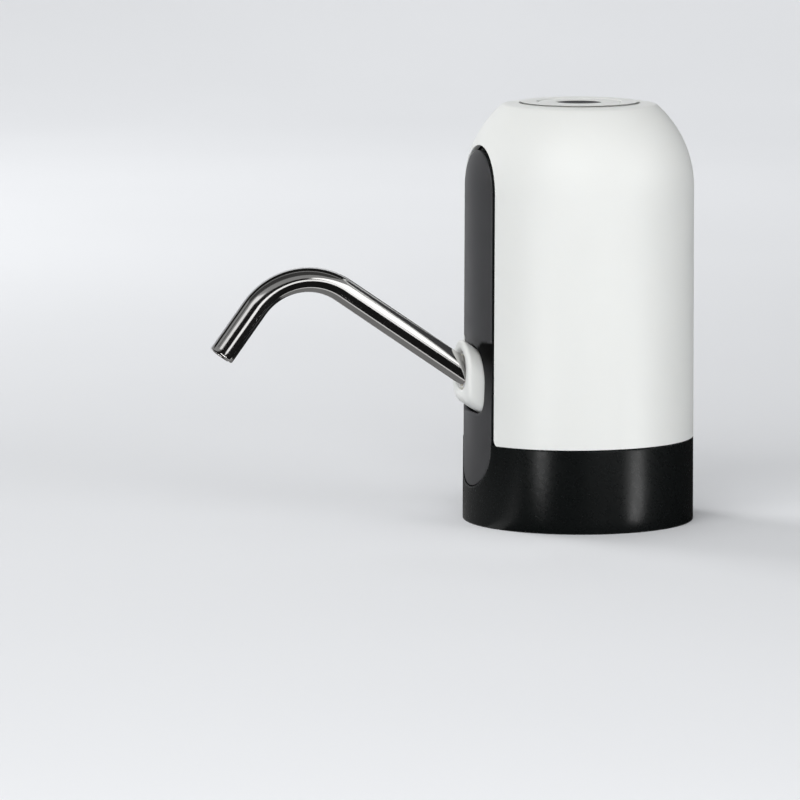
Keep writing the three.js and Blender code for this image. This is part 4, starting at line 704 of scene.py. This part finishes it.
def housing_shell():
    """The white dome: rays round the front opening, regular rows round the back, rings over the crown."""
    skin = Skin()
    half = STRIP_HALF_WIDTH + STRIP_GROOVE
    rays = u_opening_rays(SHELL_BOTTOM, STRIP_TOP, SHELL_SPLIT, half, 1, APERTURE_CORNER, 34)
    skin.mirrored_patch([ray_points(ray, SHELL_EDGE, SHELL_WALL) for ray in rays])
    heights = side_levels(rays, SHELL_SPLIT)
    around = BACK_ANGLES + [TURN - a for a in reversed(BACK_ANGLES[:-1])]
    middle = len(BACK_ANGLES) - 1
    rows = (max(k for k, z in enumerate(heights) if z < PORT_HEIGHT - HOLE_MARGIN),
            min(k for k, z in enumerate(heights) if z > PORT_HEIGHT + HOLE_MARGIN))
    pierced_grid(skin, around, heights, [
        ((middle - 5, middle + 5), rows, (0.0, PORT_HEIGHT), PORT_SIZE),
        ((middle - 9, middle - 5), rows, (LAMP_X, LAMP_HEIGHT), LAMP_SIZE)])
    hole = CROWN_DISC_RADIUS + CROWN_SEAM
    crown = dome_outline(SHELL_SPLIT, hole)
    crown[0] = (surface_radius(SHELL_SPLIT), SHELL_SPLIT)
    # the crown drops by a step beside the seam, whose wall then goes down to the shell's thickness
    top = crown[-1][1]
    crown = [(r, z - SEAM_STEP * clamp((SEAM_STEP_START - r) / SEAM_STEP_RUN)) for r, z in crown]
    crown += [(hole, top - SEAM_LIP), (hole, top - SHELL_WALL)]
    skin.mirrored_patch(rings(crown, split_angles(rays, SHELL_SPLIT)))
    # the lower rim turns in to the wall's thickness
    outside = surface_radius(SHELL_BOTTOM)
    inside = outside - SHELL_WALL
    rim = [(outside, SHELL_BOTTOM), (inside, SHELL_BOTTOM), (inside, SHELL_BOTTOM + SHELL_FOOT)]
    skin.mirrored_patch(rings(rim, crowded_angles(math.asin((rays[0][0][0] + SHELL_EDGE) / outside))))
    skin.build("shell", "base", WHITE, ["housing_shell"])


def guide_rib(skin, angle):
    """An upright rib inside the ring, with a sloped foot and a rounded inner edge."""
    outer = COLLAR_INNER_RADIUS + RIB_ROOT
    across = [(outer, RIB_HALF_THICKNESS), (RIB_RADIUS + RIB_EDGE, RIB_HALF_THICKNESS)]
    across += [(RIB_RADIUS + RIB_EDGE * (1 - math.sin(a)), RIB_HALF_THICKNESS - RIB_EDGE * (1 - math.cos(a)))
               for a in evenly(0, QUARTER, 3)[1:]]
    across += [(r, -half) for r, half in reversed(across)]
    rows = [[(min(r + lead, outer), side, z) for r, side in across]
            for z, lead in ((RIB_BOTTOM, RIB_LEAD_IN), (RIB_BOTTOM + RIB_LEAD_IN, 0.0), (RIB_TOP, 0.0))]
    ends = [[(outer, side, z) for _, side, z in row] for row in (rows[0], rows[-1])]
    c, s = math.cos(angle), math.sin(angle)
    skin.patch([[(x * c - y * s, x * s + y * c, z) for x, y, z in row] for row in [ends[0], *rows, ends[1]]])


def base_ring():
    """The black ring, its notch for the strip, the shelf inside it and the ribs that guide the neck."""
    skin = Skin()
    half = STRIP_HALF_WIDTH + FIT
    lip_start = COLLAR_TOP - COLLAR_LIP
    rays = u_opening_rays(lip_start, STRIP_BOTTOM, COLLAR_SPLIT, half, -1, 0, 3)
    skin.mirrored_patch([ray_points(ray, NOTCH_EDGE, COLLAR_WALL) for ray in rays], True)
    sides = [(surface_radius(z), z) for z in side_levels(rays, COLLAR_SPLIT)]
    skin.mirrored_patch(rings(sides, BACK_ANGLES), True)
    foot = rounded([(surface_radius(COLLAR_SPLIT), COLLAR_SPLIT), (BASE_RADIUS, 0), (COLLAR_INNER_RADIUS, 0),
                    (COLLAR_INNER_RADIUS, COLLAR_SPLIT)], [0, 0.25, 0.4, 0], 6)
    skin.mirrored_patch(rings(foot, split_angles(rays, COLLAR_SPLIT)), True)
    # the upper edge and the inside, from one side of the notch round the back to the other
    around = crowded_angles(math.asin((half + NOTCH_EDGE) / surface_radius(lip_start)))
    lip = rounded([(surface_radius(lip_start), lip_start), (surface_radius(COLLAR_TOP), COLLAR_TOP),
                   (COLLAR_INNER_RADIUS, COLLAR_TOP)], [0, 0.35, 0], 5)
    skin.mirrored_patch(rings(lip, around))
    inside = [(COLLAR_INNER_RADIUS, COLLAR_TOP), (COLLAR_INNER_RADIUS, SHELF_TOP),
              (SHELF_RADIUS, SHELF_TOP), (SHELF_RADIUS, PLATE_TOP),
              (COLLAR_INNER_RADIUS, PLATE_TOP), (COLLAR_INNER_RADIUS, NOTCH_BOTTOM)]
    skin.mirrored_patch(rings(inside, around))
    below_notch = [(COLLAR_INNER_RADIUS, NOTCH_BOTTOM), (COLLAR_INNER_RADIUS, COLLAR_SPLIT)]
    skin.mirrored_patch(rings(below_notch, evenly(0, math.pi, 96)))
    for angle in RIB_ANGLES:
        guide_rib(skin, angle)
    skin.build("base_ring", "base", RING_BLACK, ["base_collar"])


def scoop(x, z):
    """How far the strip's face sinks round the outlet, 0 to 1: a step at the top that runs out downward."""
    top = SCOOP_TOP - TONGUE_DROP * smooth((TONGUE_HALF_WIDTH - abs(x)) / TONGUE_RUN)
    return smooth((top - z) / SCOOP_STEP) * clamp((z - SCOOP_BOTTOM) / (SCOOP_TOP - SCOOP_BOTTOM))


def well_rim(angle, radius=WELL_RADIUS, drop=WELL_DROP, reach=None):
    """A point of the well's slanted oval, full in its lower half: on the strip's face, or at a reach."""
    fullness = 2 + OVAL_FULLNESS * clamp((radius - SOCKET_OPENING) / (SOCKET_RADIUS - SOCKET_OPENING))
    c, s = math.cos(angle), math.sin(angle)
    swell = (abs(c) ** fullness + abs(s) ** fullness) ** (-1 / fullness) if s < 0 else 1.0
    x = radius * swell * c
    level = AXIS_HEIGHT + radius * swell * STRETCH * s - drop
    depth = MOUTH_REACH if reach is None else reach
    z = level + math.tan(RISE) * (depth - MOUTH_REACH)
    if reach is None:
        # the face's depth and the height along the axis settle on one another
        for _ in range(6):
            depth = math.sqrt(surface_radius(z) ** 2 - x * x) - STRIP_SINK - SCOOP_DEPTH * scoop(x, z)
            z = level + math.tan(RISE) * (depth - MOUTH_REACH)
    return (x, -depth, z)


def strip_point(x, z, depth=0.0):
    return front_point(x, z, depth + STRIP_SINK + SCOOP_DEPTH * scoop(x, z))


def strip_rays(flat, columns):
    """Where the web of rays starts: (outward direction, x, z), with no direction on the row above the web."""
    rays = [(None, x, STRIP_SPLIT) for x in evenly(0, flat, columns)]
    heights = evenly(STRIP_SPLIT, FINE_TOP, 5)[:-1] + evenly(FINE_TOP, FINE_BOTTOM, 16)[:-1]
    heights += evenly(FINE_BOTTOM, STRIP_BOTTOM, 20)
    rays += [((1.0, 0.0), STRIP_HALF_WIDTH, z) for z in heights]
    for a in evenly(0, QUARTER, 32)[1:]:
        c, s = math.cos(a), math.sin(a)
        rays.append(((c, -s), STRIP_HALF_WIDTH * c, STRIP_BOTTOM - STRIP_HALF_WIDTH * s))
    return rays


def well_row(direction, x, z):
    """Points from the strip's outline over its face, round the well's rim and down to the well's floor."""
    offsets = edge_offsets(STRIP_EDGE)
    if direction is None:
        row = [strip_point(x, z)] * len(offsets)
    else:
        out_x, out_z = direction
        row = [strip_point(x - out_x * offset, z - out_z * offset, sink) for offset, sink in offsets]
        x, z = x - out_x * STRIP_EDGE, z - out_z * STRIP_EDGE
    angle = math.atan2((z - AXIS_HEIGHT + WELL_DROP) / STRETCH, x)
    rim_x, _, rim_z = well_rim(angle, WELL_RADIUS + WELL_ROUND)
    row += [strip_point(mix(x, rim_x, share), mix(z, rim_z, share)) for share in evenly(0, 1, 28)[1:]]
    for a in evenly(0, QUARTER, EDGE_STEPS)[1:]:
        px, py, pz = well_rim(angle, WELL_RADIUS + WELL_ROUND * (1 - math.sin(a)))
        sink = WELL_ROUND * (1 - math.cos(a))
        row.append((px, py + sink, pz - math.tan(RISE) * sink))
    wall_top = row[-1]
    floor = MOUTH_REACH - WELL_DEPTH
    wall_foot = well_rim(angle, WELL_RADIUS, WELL_DROP, floor)
    row += [tuple(mix(p, q, share) for p, q in zip(wall_top, wall_foot)) for share in evenly(0, 1, 3)[1:]]
    row.append(well_rim(angle, SOCKET_RADIUS + FIT, 0, floor))
    row.append(well_rim(angle, SOCKET_RADIUS + FIT, 0, floor - WELL_HOLE_DEPTH))
    return row


def front_strip():
    """The dark strip: a fan at the top, rows down the middle and a web of rays round the well."""
    skin = Skin()
    offsets = edge_offsets(STRIP_EDGE)
    columns = 10
    flat = STRIP_HALF_WIDTH - STRIP_EDGE
    section = [(STRIP_HALF_WIDTH - offset, sink) for offset, sink in offsets]
    section += [(w, 0.0) for w in evenly(flat, 0, columns)[1:]]
    skin.patch([[strip_point(w * math.cos(a), STRIP_TOP + w * math.sin(a), d) for w, d in section]
                for a in evenly(0, math.pi, 40)])
    skin.mirrored_patch([[strip_point(w, z, d) for w, d in section]
                         for z in evenly(STRIP_TOP, STRIP_SPLIT, 16)], True)
    skin.mirrored_patch([well_row(*ray) for ray in strip_rays(flat, columns)])
    made = skin.build("front_strip", "base", STRIP_DARK, ["front_panel"])
    # the material reads how deep each point lies in the scoop and paints shade from it, darker where deeper
    shade = made.data.attributes.new("scoop", "FLOAT", "POINT")
    for point, value in zip(made.data.vertices, shade.data):
        value.value = scoop(point.co.x / MM, point.co.z / MM)


def strip_flange():
    """The strip's sides and the flange behind the shell's opening, down into the ring's notch; the sides are
    black as painted shade in the groove round the strip.
    """
    skin = Skin()
    wide = STRIP_HALF_WIDTH + FLANGE_OVERLAP
    side = [(STRIP_HALF_WIDTH, STRIP_EDGE), (STRIP_HALF_WIDTH, FLANGE_FRONT)]
    ledge = side + [(wide, FLANGE_FRONT), (wide, FLANGE_BACK)]
    skin.patch([[strip_point(w * math.cos(a), STRIP_TOP + w * math.sin(a), d) for w, d in ledge]
                for a in evenly(0, math.pi, 40)])
    foot = SHELL_BOTTOM + FIT
    heights = evenly(STRIP_TOP, FINE_TOP, 12)[:-1] + evenly(FINE_TOP, FINE_BOTTOM, 16)[:-1]
    heights += evenly(FINE_BOTTOM, foot, 12)
    # only the front edge follows the scoop
    skin.mirrored_patch([[strip_point(STRIP_HALF_WIDTH, z, STRIP_EDGE)]
                         + [front_point(w, z, d + STRIP_SINK) for w, d in ledge[1:]] for z in heights], True)
    skin.mirrored_patch([[strip_point(w, z, d) for w, d in side]
                         for z in evenly(foot, STRIP_BOTTOM, 4)], True)
    skin.patch([[strip_point(w * math.cos(a), STRIP_BOTTOM - w * math.sin(a), d) for w, d in side]
                for a in evenly(0, math.pi, 64)], True)
    # painted shade: the strip's sides take the black ring plastic so that the groove beside the strip reads
    # dark
    skin.build("strip_flange", "base", RING_BLACK)


def slanted_sleeve(outline, lift=0.0, lift_start=0.0):
    """Rows of a sleeve along the spout's axis whose ends stand upright; outline is (radius, reach) points.

    Beyond lift_start the lower half comes forward by up to lift."""
    rows = []
    for radius, reach in outline + [outline[0]]:
        forward = lift if reach > lift_start else 0.0
        rows.append([well_rim(a, radius, 0, reach + forward * max(0.0, -math.sin(a)) ** 2)
                     for a in evenly(0, TURN, 96)])
    return rows


def outlet_socket():
    skin = Skin()
    front = MOUTH_REACH + SOCKET_REACH
    back = MOUTH_REACH - WELL_DEPTH - SOCKET_ROOT
    skin.patch(slanted_sleeve(rounded(
        [(SOCKET_OPENING, back), (SOCKET_RADIUS, back), (SOCKET_RADIUS, front), (SOCKET_OPENING, front)],
        [0, 0, SOCKET_OUTER_LIP, SOCKET_INNER_LIP], 8)))
    skin.build("outlet_sleeve", "base", WHITE, ["outlet_socket"])


def spout_seal():
    skin = Skin()
    front = MOUTH_REACH + SOCKET_REACH - SEAL_SETBACK
    back = MOUTH_REACH - SEAL_INNER_END * math.cos(RISE)
    inner = SPOUT_RADIUS + SEAL_GAP
    outer = SPOUT_RADIUS + FIT + SEAL_WALL
    outline = rounded([(inner, back), (outer, back), (outer, front), (inner, front)], [0, 0, 0.45, 0.3], 5)
    skin.patch(slanted_sleeve(outline, SEAL_LIFT, back + 1))
    skin.build("seal_sleeve", "seal", SILICONE, ["spout_seal"])


def spout_frame(distance):
    """The centre and the outer normal at a distance along the spout's centre line, in the YZ plane."""
    turn = min(max((distance - SPOUT_ARM) / SPOUT_BEND, 0.0), RISE + DROP)
    leg = max(0.0, distance - SPOUT_ARM - BEND_LENGTH)
    along = min(distance, SPOUT_ARM) + SPOUT_BEND * math.sin(turn) + leg * math.cos(turn)
    across = SPOUT_BEND * (1 - math.cos(turn)) + leg * math.sin(turn)
    centre = (-MOUTH_REACH - math.cos(RISE) * along - math.sin(RISE) * across,
              AXIS_HEIGHT + math.sin(RISE) * along - math.cos(RISE) * across)
    return centre, (math.sin(RISE - turn), math.cos(RISE - turn))


def spout_ring(distance, radius, flat=0.0):
    """A ring round the tube; flat is how far its outer side is pressed in, the inner one half as much."""
    (centre_y, centre_z), (out_y, out_z) = spout_frame(distance)
    row = []
    for a in evenly(0, TURN, 64):
        side = radius * math.sin(a) * (1 + flat * 0.45)
        out = radius * math.cos(a) * (1 - flat * (1.0 if math.cos(a) > 0 else 0.5))
        row.append((side, centre_y + out_y * out, centre_z + out_z * out))
    return row


def spout():
    """The bent steel tube: slightly flattened in the bend, with a rolled mouth."""
    skin = Skin()
    bend_end = SPOUT_ARM + BEND_LENGTH
    tip = bend_end + SPOUT_LEG
    stations = evenly(-SPOUT_INSERT, SPOUT_ARM, 40)[:-1] + evenly(SPOUT_ARM, bend_end, 72)[:-1]
    stations += evenly(bend_end, tip - MOUTH_ROUND, 14)
    rows = []
    for distance in stations:
        share = clamp((distance - SPOUT_ARM) / BEND_LENGTH)
        rows.append(spout_ring(distance, SPOUT_RADIUS, BEND_FLATTENING * math.sin(math.pi * share)))
    for a in evenly(0, QUARTER, 5)[1:]:
        rows.append(spout_ring(tip - MOUTH_ROUND * (1 - math.sin(a)),
                               SPOUT_RADIUS - MOUTH_ROUND * (1 - math.cos(a))))
    for a in evenly(0, QUARTER, 3)[1:]:
        rows.append(spout_ring(tip - MOUTH_INNER_ROUND * (1 - math.cos(a)),
                               SPOUT_BORE + MOUTH_INNER_ROUND * (1 - math.sin(a))))
    inside = [distance for distance in reversed(stations) if distance < tip - 2]
    rows += [spout_ring(distance, SPOUT_BORE) for distance in inside[::2] + [-SPOUT_INSERT]]
    rows.append(spout_ring(-SPOUT_INSERT, SPOUT_RADIUS))
    skin.patch(rows)
    skin.build("spout", "spout", STEEL, ["spout_tube"])


def crown_pieces():
    edge = CROWN_DISC_RADIUS
    hole = BUTTON_RADIUS + FIT
    flange = BODY_HEIGHT - COVER_FLANGE_DROP
    cover = rounded([(hole, COVER_SEAT), (hole + COVER_WALL, COVER_SEAT), (hole + COVER_WALL, COVER_LEDGE),
                     (COVER_FLANGE_RADIUS, COVER_LEDGE), (COVER_FLANGE_RADIUS, flange),
                     (edge - COVER_UNDERCUT, flange), (edge - COVER_UNDERCUT, BODY_HEIGHT - 0.5),
                     (edge, BODY_HEIGHT - 0.08), (edge - 0.08, BODY_HEIGHT), (hole, BODY_HEIGHT)],
                    [0, 0, 0.3, 0.2, 0.2, 0, 0, 0.03, 0.2, 0.35], 5)
    turned("crown_ring", cover, "base", WHITE_TOP, ["top_cover"])
    low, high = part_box("power_button")
    bottom, top = low.z / MM, high.z / MM
    inside = BUTTON_RADIUS - BUTTON_WALL
    button = rounded([(0, top - BUTTON_CAP), (inside, top - BUTTON_CAP), (inside, bottom + BUTTON_SKIRT),
                      (BUTTON_RADIUS, bottom + BUTTON_SKIRT), (BUTTON_RADIUS, top), (PAD_SEAT_RADIUS, top),
                      (PAD_SEAT_RADIUS, top - PAD_FLOOR), (0, top - PAD_FLOOR)],
                     [0, 0, 0, 0, 0.5, 0.25, 0, 0], 5)
    turned("push_button", button, "button", WHITE_TOP, ["power_button"])
    pad_top = top - PAD_DROP
    flat = PAD_RADIUS - PAD_EDGE
    dish = [(0, top - PAD_FLOOR), (PAD_RADIUS, top - PAD_FLOOR), (PAD_RADIUS, pad_top - PAD_EDGE)]
    dish += [(flat + PAD_EDGE * math.cos(a), pad_top - PAD_EDGE * (1 - math.sin(a)))
             for a in evenly(0, QUARTER, 5)[1:]]
    dish += [(r, pad_top - PAD_DISH * (1 - (r / flat) ** 2)) for r in evenly(flat, 0, 12)[1:]]
    turned("button_pad", dish, "button", PAD_DARK, ["button_inlay"])


def underside_pieces():
    low, high = NECK_SEAT, PLATE_BOTTOM
    inner, outer = GASKET_RADII
    gasket = rounded([(inner, low), (outer, low), (outer, high), (inner, high)], [0.45, 0.45, 0, 0], 5)
    turned("neck_ring", gasket, "base", SILICONE, ["neck_gasket"])
    plate = rounded([(STEM_HOLE, PLATE_BOTTOM), (PLATE_RADIUS, PLATE_BOTTOM), (PLATE_RADIUS, PLATE_TOP),
                     (STEM_HOLE, PLATE_TOP)], [0.2, 0.35, 0, 0], 4)
    turned("floor_plate", plate, "base", RING_BLACK, ["base_plate"])
    barbs = [(HOSE_BORE, HOSE_BOTTOM), (HOSE_RADIUS, HOSE_BOTTOM)]
    for radius, level in ((HOSE_RADIUS, 1), (HOSE_RADIUS, 2), (STEM_RADIUS, 3)):
        z = HOSE_BOTTOM + BARB_PITCH * level
        barbs += [(BARB_RADIUS, z), (radius, z)]
    under, over = HOSE_FLANGE
    barbs += [(STEM_RADIUS, under), (HOSE_FLANGE_RADIUS, under), (HOSE_FLANGE_RADIUS, over),
              (HOSE_TIP_RADIUS, over), (HOSE_TIP_RADIUS, HOSE_TIP), (HOSE_BORE, HOSE_TIP)]
    tail = rounded(barbs, [0.3] * 2 + [0.12] * 6 + [0, 0.2, 0.2, 0.2, 0.2, 0], 4)
    turned("hose_tail", tail, "base", RING_BLACK, ["hose_connector"], 64)
    hexagon_nut()
    for number in range(1, 5):
        cross_screw(f"base_screw_{number}", f"floor_screw_{number}")


def hexagon_nut():
    """The connector's nut: six flats with their corners turned down, and a round bore."""
    skin = Skin()
    flat = NUT_RADIUS * math.cos(math.pi / 6)
    bottom, top = PLATE_BOTTOM - NUT_HEIGHT, PLATE_BOTTOM
    columns = []
    for a in evenly(0, TURN, 96):
        reach = flat / math.cos(a % (math.pi / 3) - math.pi / 6)
        down = (reach - flat) * 0.55
        column = [(STEM_HOLE, top), (STEM_HOLE, bottom + 0.3), (STEM_HOLE + 0.3, bottom),
                  (flat - 0.35, bottom), (reach, bottom + 0.2 + down), (reach, top - down), (flat, top),
                  (STEM_HOLE, top)]
        columns.append([(r * math.cos(a), r * math.sin(a), z) for r, z in column])
    skin.patch(columns)
    skin.build("hose_nut", "base", RING_BLACK, ["connector_nut"], math.radians(24))


def cross_screw(node, name):
    """A domed screw head with a cross recess, and its shank."""
    low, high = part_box(node)
    centre = ((low.x + high.x) / 2 / MM, (low.y + high.y) / 2 / MM - AXIS_Y)
    bottom, top = low.z / MM, high.z / MM
    # the recess: the length and half width of its arms, and angles that catch the arms' corners
    arm, half = 1.35, 0.34
    corner = math.atan2(half, arm)
    angles = sorted({round(QUARTER * number + a, 9) for number in range(4) for k in range(-2, 3)
                     for a in (corner * k / 2, QUARTER / 2 + 0.17 * k)})
    rows = []
    for a in angles + [angles[0] + TURN]:
        major, minor = sorted((abs(math.cos(a)), abs(math.sin(a))), reverse=True)
        reach = min(arm / major, half / max(minor, 1e-6))
        column = [(0.0, bottom + 1.1), (reach * 0.6, bottom + 1.0), (reach, bottom + 0.1)]
        column += [(r, bottom + 0.9 * (r / SCREW_RADIUS) ** 3)
                   for r in evenly(max(reach, SCREW_SHANK), SCREW_RADIUS, 8)]
        column += [(SCREW_RADIUS, bottom + 1.5), (SCREW_RADIUS - 0.1, bottom + 1.8),
                   (SCREW_SHANK, bottom + 1.8), (SCREW_SHANK, top), (0.0, top)]
        rows.append([(centre[0] + r * math.cos(a), centre[1] + r * math.sin(a), z) for r, z in column])
    skin = Skin()
    skin.patch(rows)
    skin.build(name, "base", PLATED, [node], math.radians(28))


housing_shell()
base_ring()
front_strip()
strip_flange()
outlet_socket()
spout_seal()
spout()
crown_pieces()
underside_pieces()

# Carried-over CAD pieces keep their shape and take a finish
slots = {entry["node"]: entry["material_slot"] for entry in frame["record"]["subparts"]}
for node_name, node in frame["nodes"].items():
    node.data.materials.clear()
    node.data.materials.append(SLOT_MATERIALS[slots[node_name]])


# Floor, backdrop and light, in metres and watts

def stage_floor():
    flat, bend, rise, half_width = 1.5, 1.2, 2.2, 4
    profile = [(-2 * flat, 0.0), (flat, 0.0)]
    profile += [(flat + bend * math.sin(a), bend * (1 - math.cos(a))) for a in evenly(0, QUARTER, 12)[1:]]
    profile.append((flat + bend, bend + rise))
    points = [tuple(AHEAD * along + RIGHT * side + UP * z)
              for along, z in profile for side in (-half_width, half_width)]
    faces = [(2 * k, 2 * k + 1, 2 * k + 3, 2 * k + 2) for k in range(len(profile) - 1)]
    data = bpy.data.meshes.new("floor")
    data.from_pydata(points, [], faces)
    data.shade_smooth()
    floor = put("floor", data)
    made, tree, shader = material("floor_pale", (0.80, 0.81, 0.83), 0.85, {"Specular IOR Level": 0})
    join(tree, tint(tree, noise(tree, 3, 2), (0.79, 0.80, 0.82), (0.81, 0.82, 0.84)), shader, "Base Color")
    data.materials.append(made)


def soft_light(name, place, aim, size, power):
    data = bpy.data.lights.new(name, "AREA")
    data.shape = "RECTANGLE"
    data.size, data.size_y = size
    data.energy = power
    light = put(name, data)
    light.location = place
    light.rotation_euler = (aim - place).to_track_quat("-Z", "Y").to_euler()
    light.visible_glossy = False


def place_lights():
    aim = OBJECT_MIDDLE
    steep = math.radians(32)
    key = aim + (UP * math.sin(steep) - AHEAD * math.cos(steep)) * 1.5 - RIGHT * 0.3
    soft_light("key", key, aim, (1.5, 1.05), 16.3)
    soft_light("fill", aim - AHEAD * 0.85 + RIGHT * 1.5 + UP * 0.35, aim, (0.8, 0.9), 7)
    soft_light("back_left", aim + AHEAD * 0.9 - RIGHT * 1.1 + UP * 0.6, aim, (0.6, 1.0), 12)
    soft_light("top", aim + UP * 1.5, aim, (0.9, 0.9), 1)
    soft_light("backdrop", AHEAD + UP * 1.7, AHEAD * 2.6 + UP * 0.9, (2.4, 0.5), 20)


def reflector(name, corners, brightness):
    """A studio card that only glossy reflections see: a dark flag or a pale board."""
    data = bpy.data.meshes.new(name)
    data.from_pydata([tuple(corner) for corner in corners], [], [tuple(range(len(corners)))])
    card = put(name, data)
    made = bpy.data.materials.new(name)
    made.use_nodes = True
    tree = made.node_tree
    tree.nodes.remove(tree.nodes["Principled BSDF"])
    glow = add(tree, "ShaderNodeEmission", {"Color": (brightness, brightness, brightness, 1)})
    join(tree, glow.outputs["Emission"], tree.nodes["Material Output"], "Surface")
    data.materials.append(made)
    card.visible_camera = False
    card.visible_diffuse = False
    card.visible_shadow = False
    card.visible_transmission = False


def far_card(name, centre, distance, bearings, brightness):
    """A card seen from the centre between bearings given as (azimuth from X towards Y, height) in degrees."""
    corners = []
    for azimuth, height in bearings:
        a, h = math.radians(azimuth), math.radians(height)
        away = Vector((math.cos(a) * math.cos(h), math.sin(a) * math.cos(h), math.sin(h)))
        corners.append(centre + away * distance)
    reflector(name, corners, brightness)


def level_card(name, height, near, far, brightness):
    """A card that hangs level over the object, from near to far along the camera's direction."""
    half_width = 1.6
    reflector(name, [OBJECT_MIDDLE + UP * height + RIGHT * side + AHEAD * ahead for side, ahead in
                     ((-half_width, far), (half_width, far), (half_width, near), (-half_width, near))],
              brightness)


def floor_card(name, corners, brightness, height=CARD_LIFT):
    """A card that lies on the floor; its corners are (x, y)."""
    reflector(name, [Vector((x, y, height)) for x, y in corners], brightness)


def place_cards():
    """What the polished spout and the black ring mirror, with the boards on the floor over its flags."""
    far_card("board_right", SPOUT_ARM_PLACE, 2.2,
             [(19, 12), (28, 1), (50, 1), (70, 20), (66, 31), (40, 26), (19, 20)], 1.6)
    far_card("board_key", SPOUT_ARM_PLACE, 2.0, [(-62, 34), (-55, 46), (-20, 34), (-16, 22), (-40, 27)], 1.0)
    far_card("board_leg", SPOUT_LEG_PLACE, 0.5, [(0, -13), (28, -13), (28, 5), (0, 5)], 1.2)
    floor_card("board_left", [(0.068, -0.058), (0.090, -0.058), (0.290, -0.290), (0.210, -0.340)],
               6.5, 2 * CARD_LIFT)
    floor_card("board_near", [(0.0530, 0.0560), (0.0490, 0.0612), (0.092, 0.116), (0.300, 0.320),
                              (0.350, 0.260), (0.110, 0.096)], 5.5, 2 * CARD_LIFT)
    far_card("flag_behind", SPOUT_ARM_PLACE, 1.2, [(88, -4), (148, -4), (148, 22), (88, 22)], 0.01)
    far_card("flag_front", SPOUT_ARM_PLACE, 2.4, [(-75, -3), (18, -3), (18, 20), (-75, 20)], 0.01)
    level_card("flag_above", 0.95, 0.17, 1.07, 0.012)
    level_card("flag_sky", 1.45, -0.9, 0.1, 0.05)
    floor_card("flag_floor", [(0.018, 1.5), (0.018, 0.01), (0.0484, -0.1), (-0.02, -0.25), (-1.4, -0.25),
                              (-1.4, -1.5), (1.3, -1.5), (1.3, 1.5)], 0.01)
    floor_card("board_floor", [(0.018, 0.01), (0.0107, 0.01), (0.029, -0.1), (0.0484, -0.1)], 0.75)
    floor_card("grey_floor", [(0.0107, 0.01), (-0.14, 0.01), (-0.14, -0.1), (0.029, -0.1)], 0.2)
    floor_card("flag_left", [(0.0484, -0.1), (-0.14, -0.1), (-0.14, -0.25), (-0.02, -0.25)], 0.01)
    floor_card("flag_right", [(0.018, 0.01), (0.018, 1.5), (-1.4, 1.5), (-1.4, 0.01)], 0.02)


def world_light():
    world = bpy.data.worlds.new("studio")
    bpy.context.scene.world = world
    world.use_nodes = True
    set_inputs(world.node_tree.nodes["Background"], {"Color": (0.95, 0.96, 0.96, 1), "Strength": 0.3})


stage_floor()
place_lights()
place_cards()
world_light()
bpy.context.scene.view_settings.view_transform = "Standard"
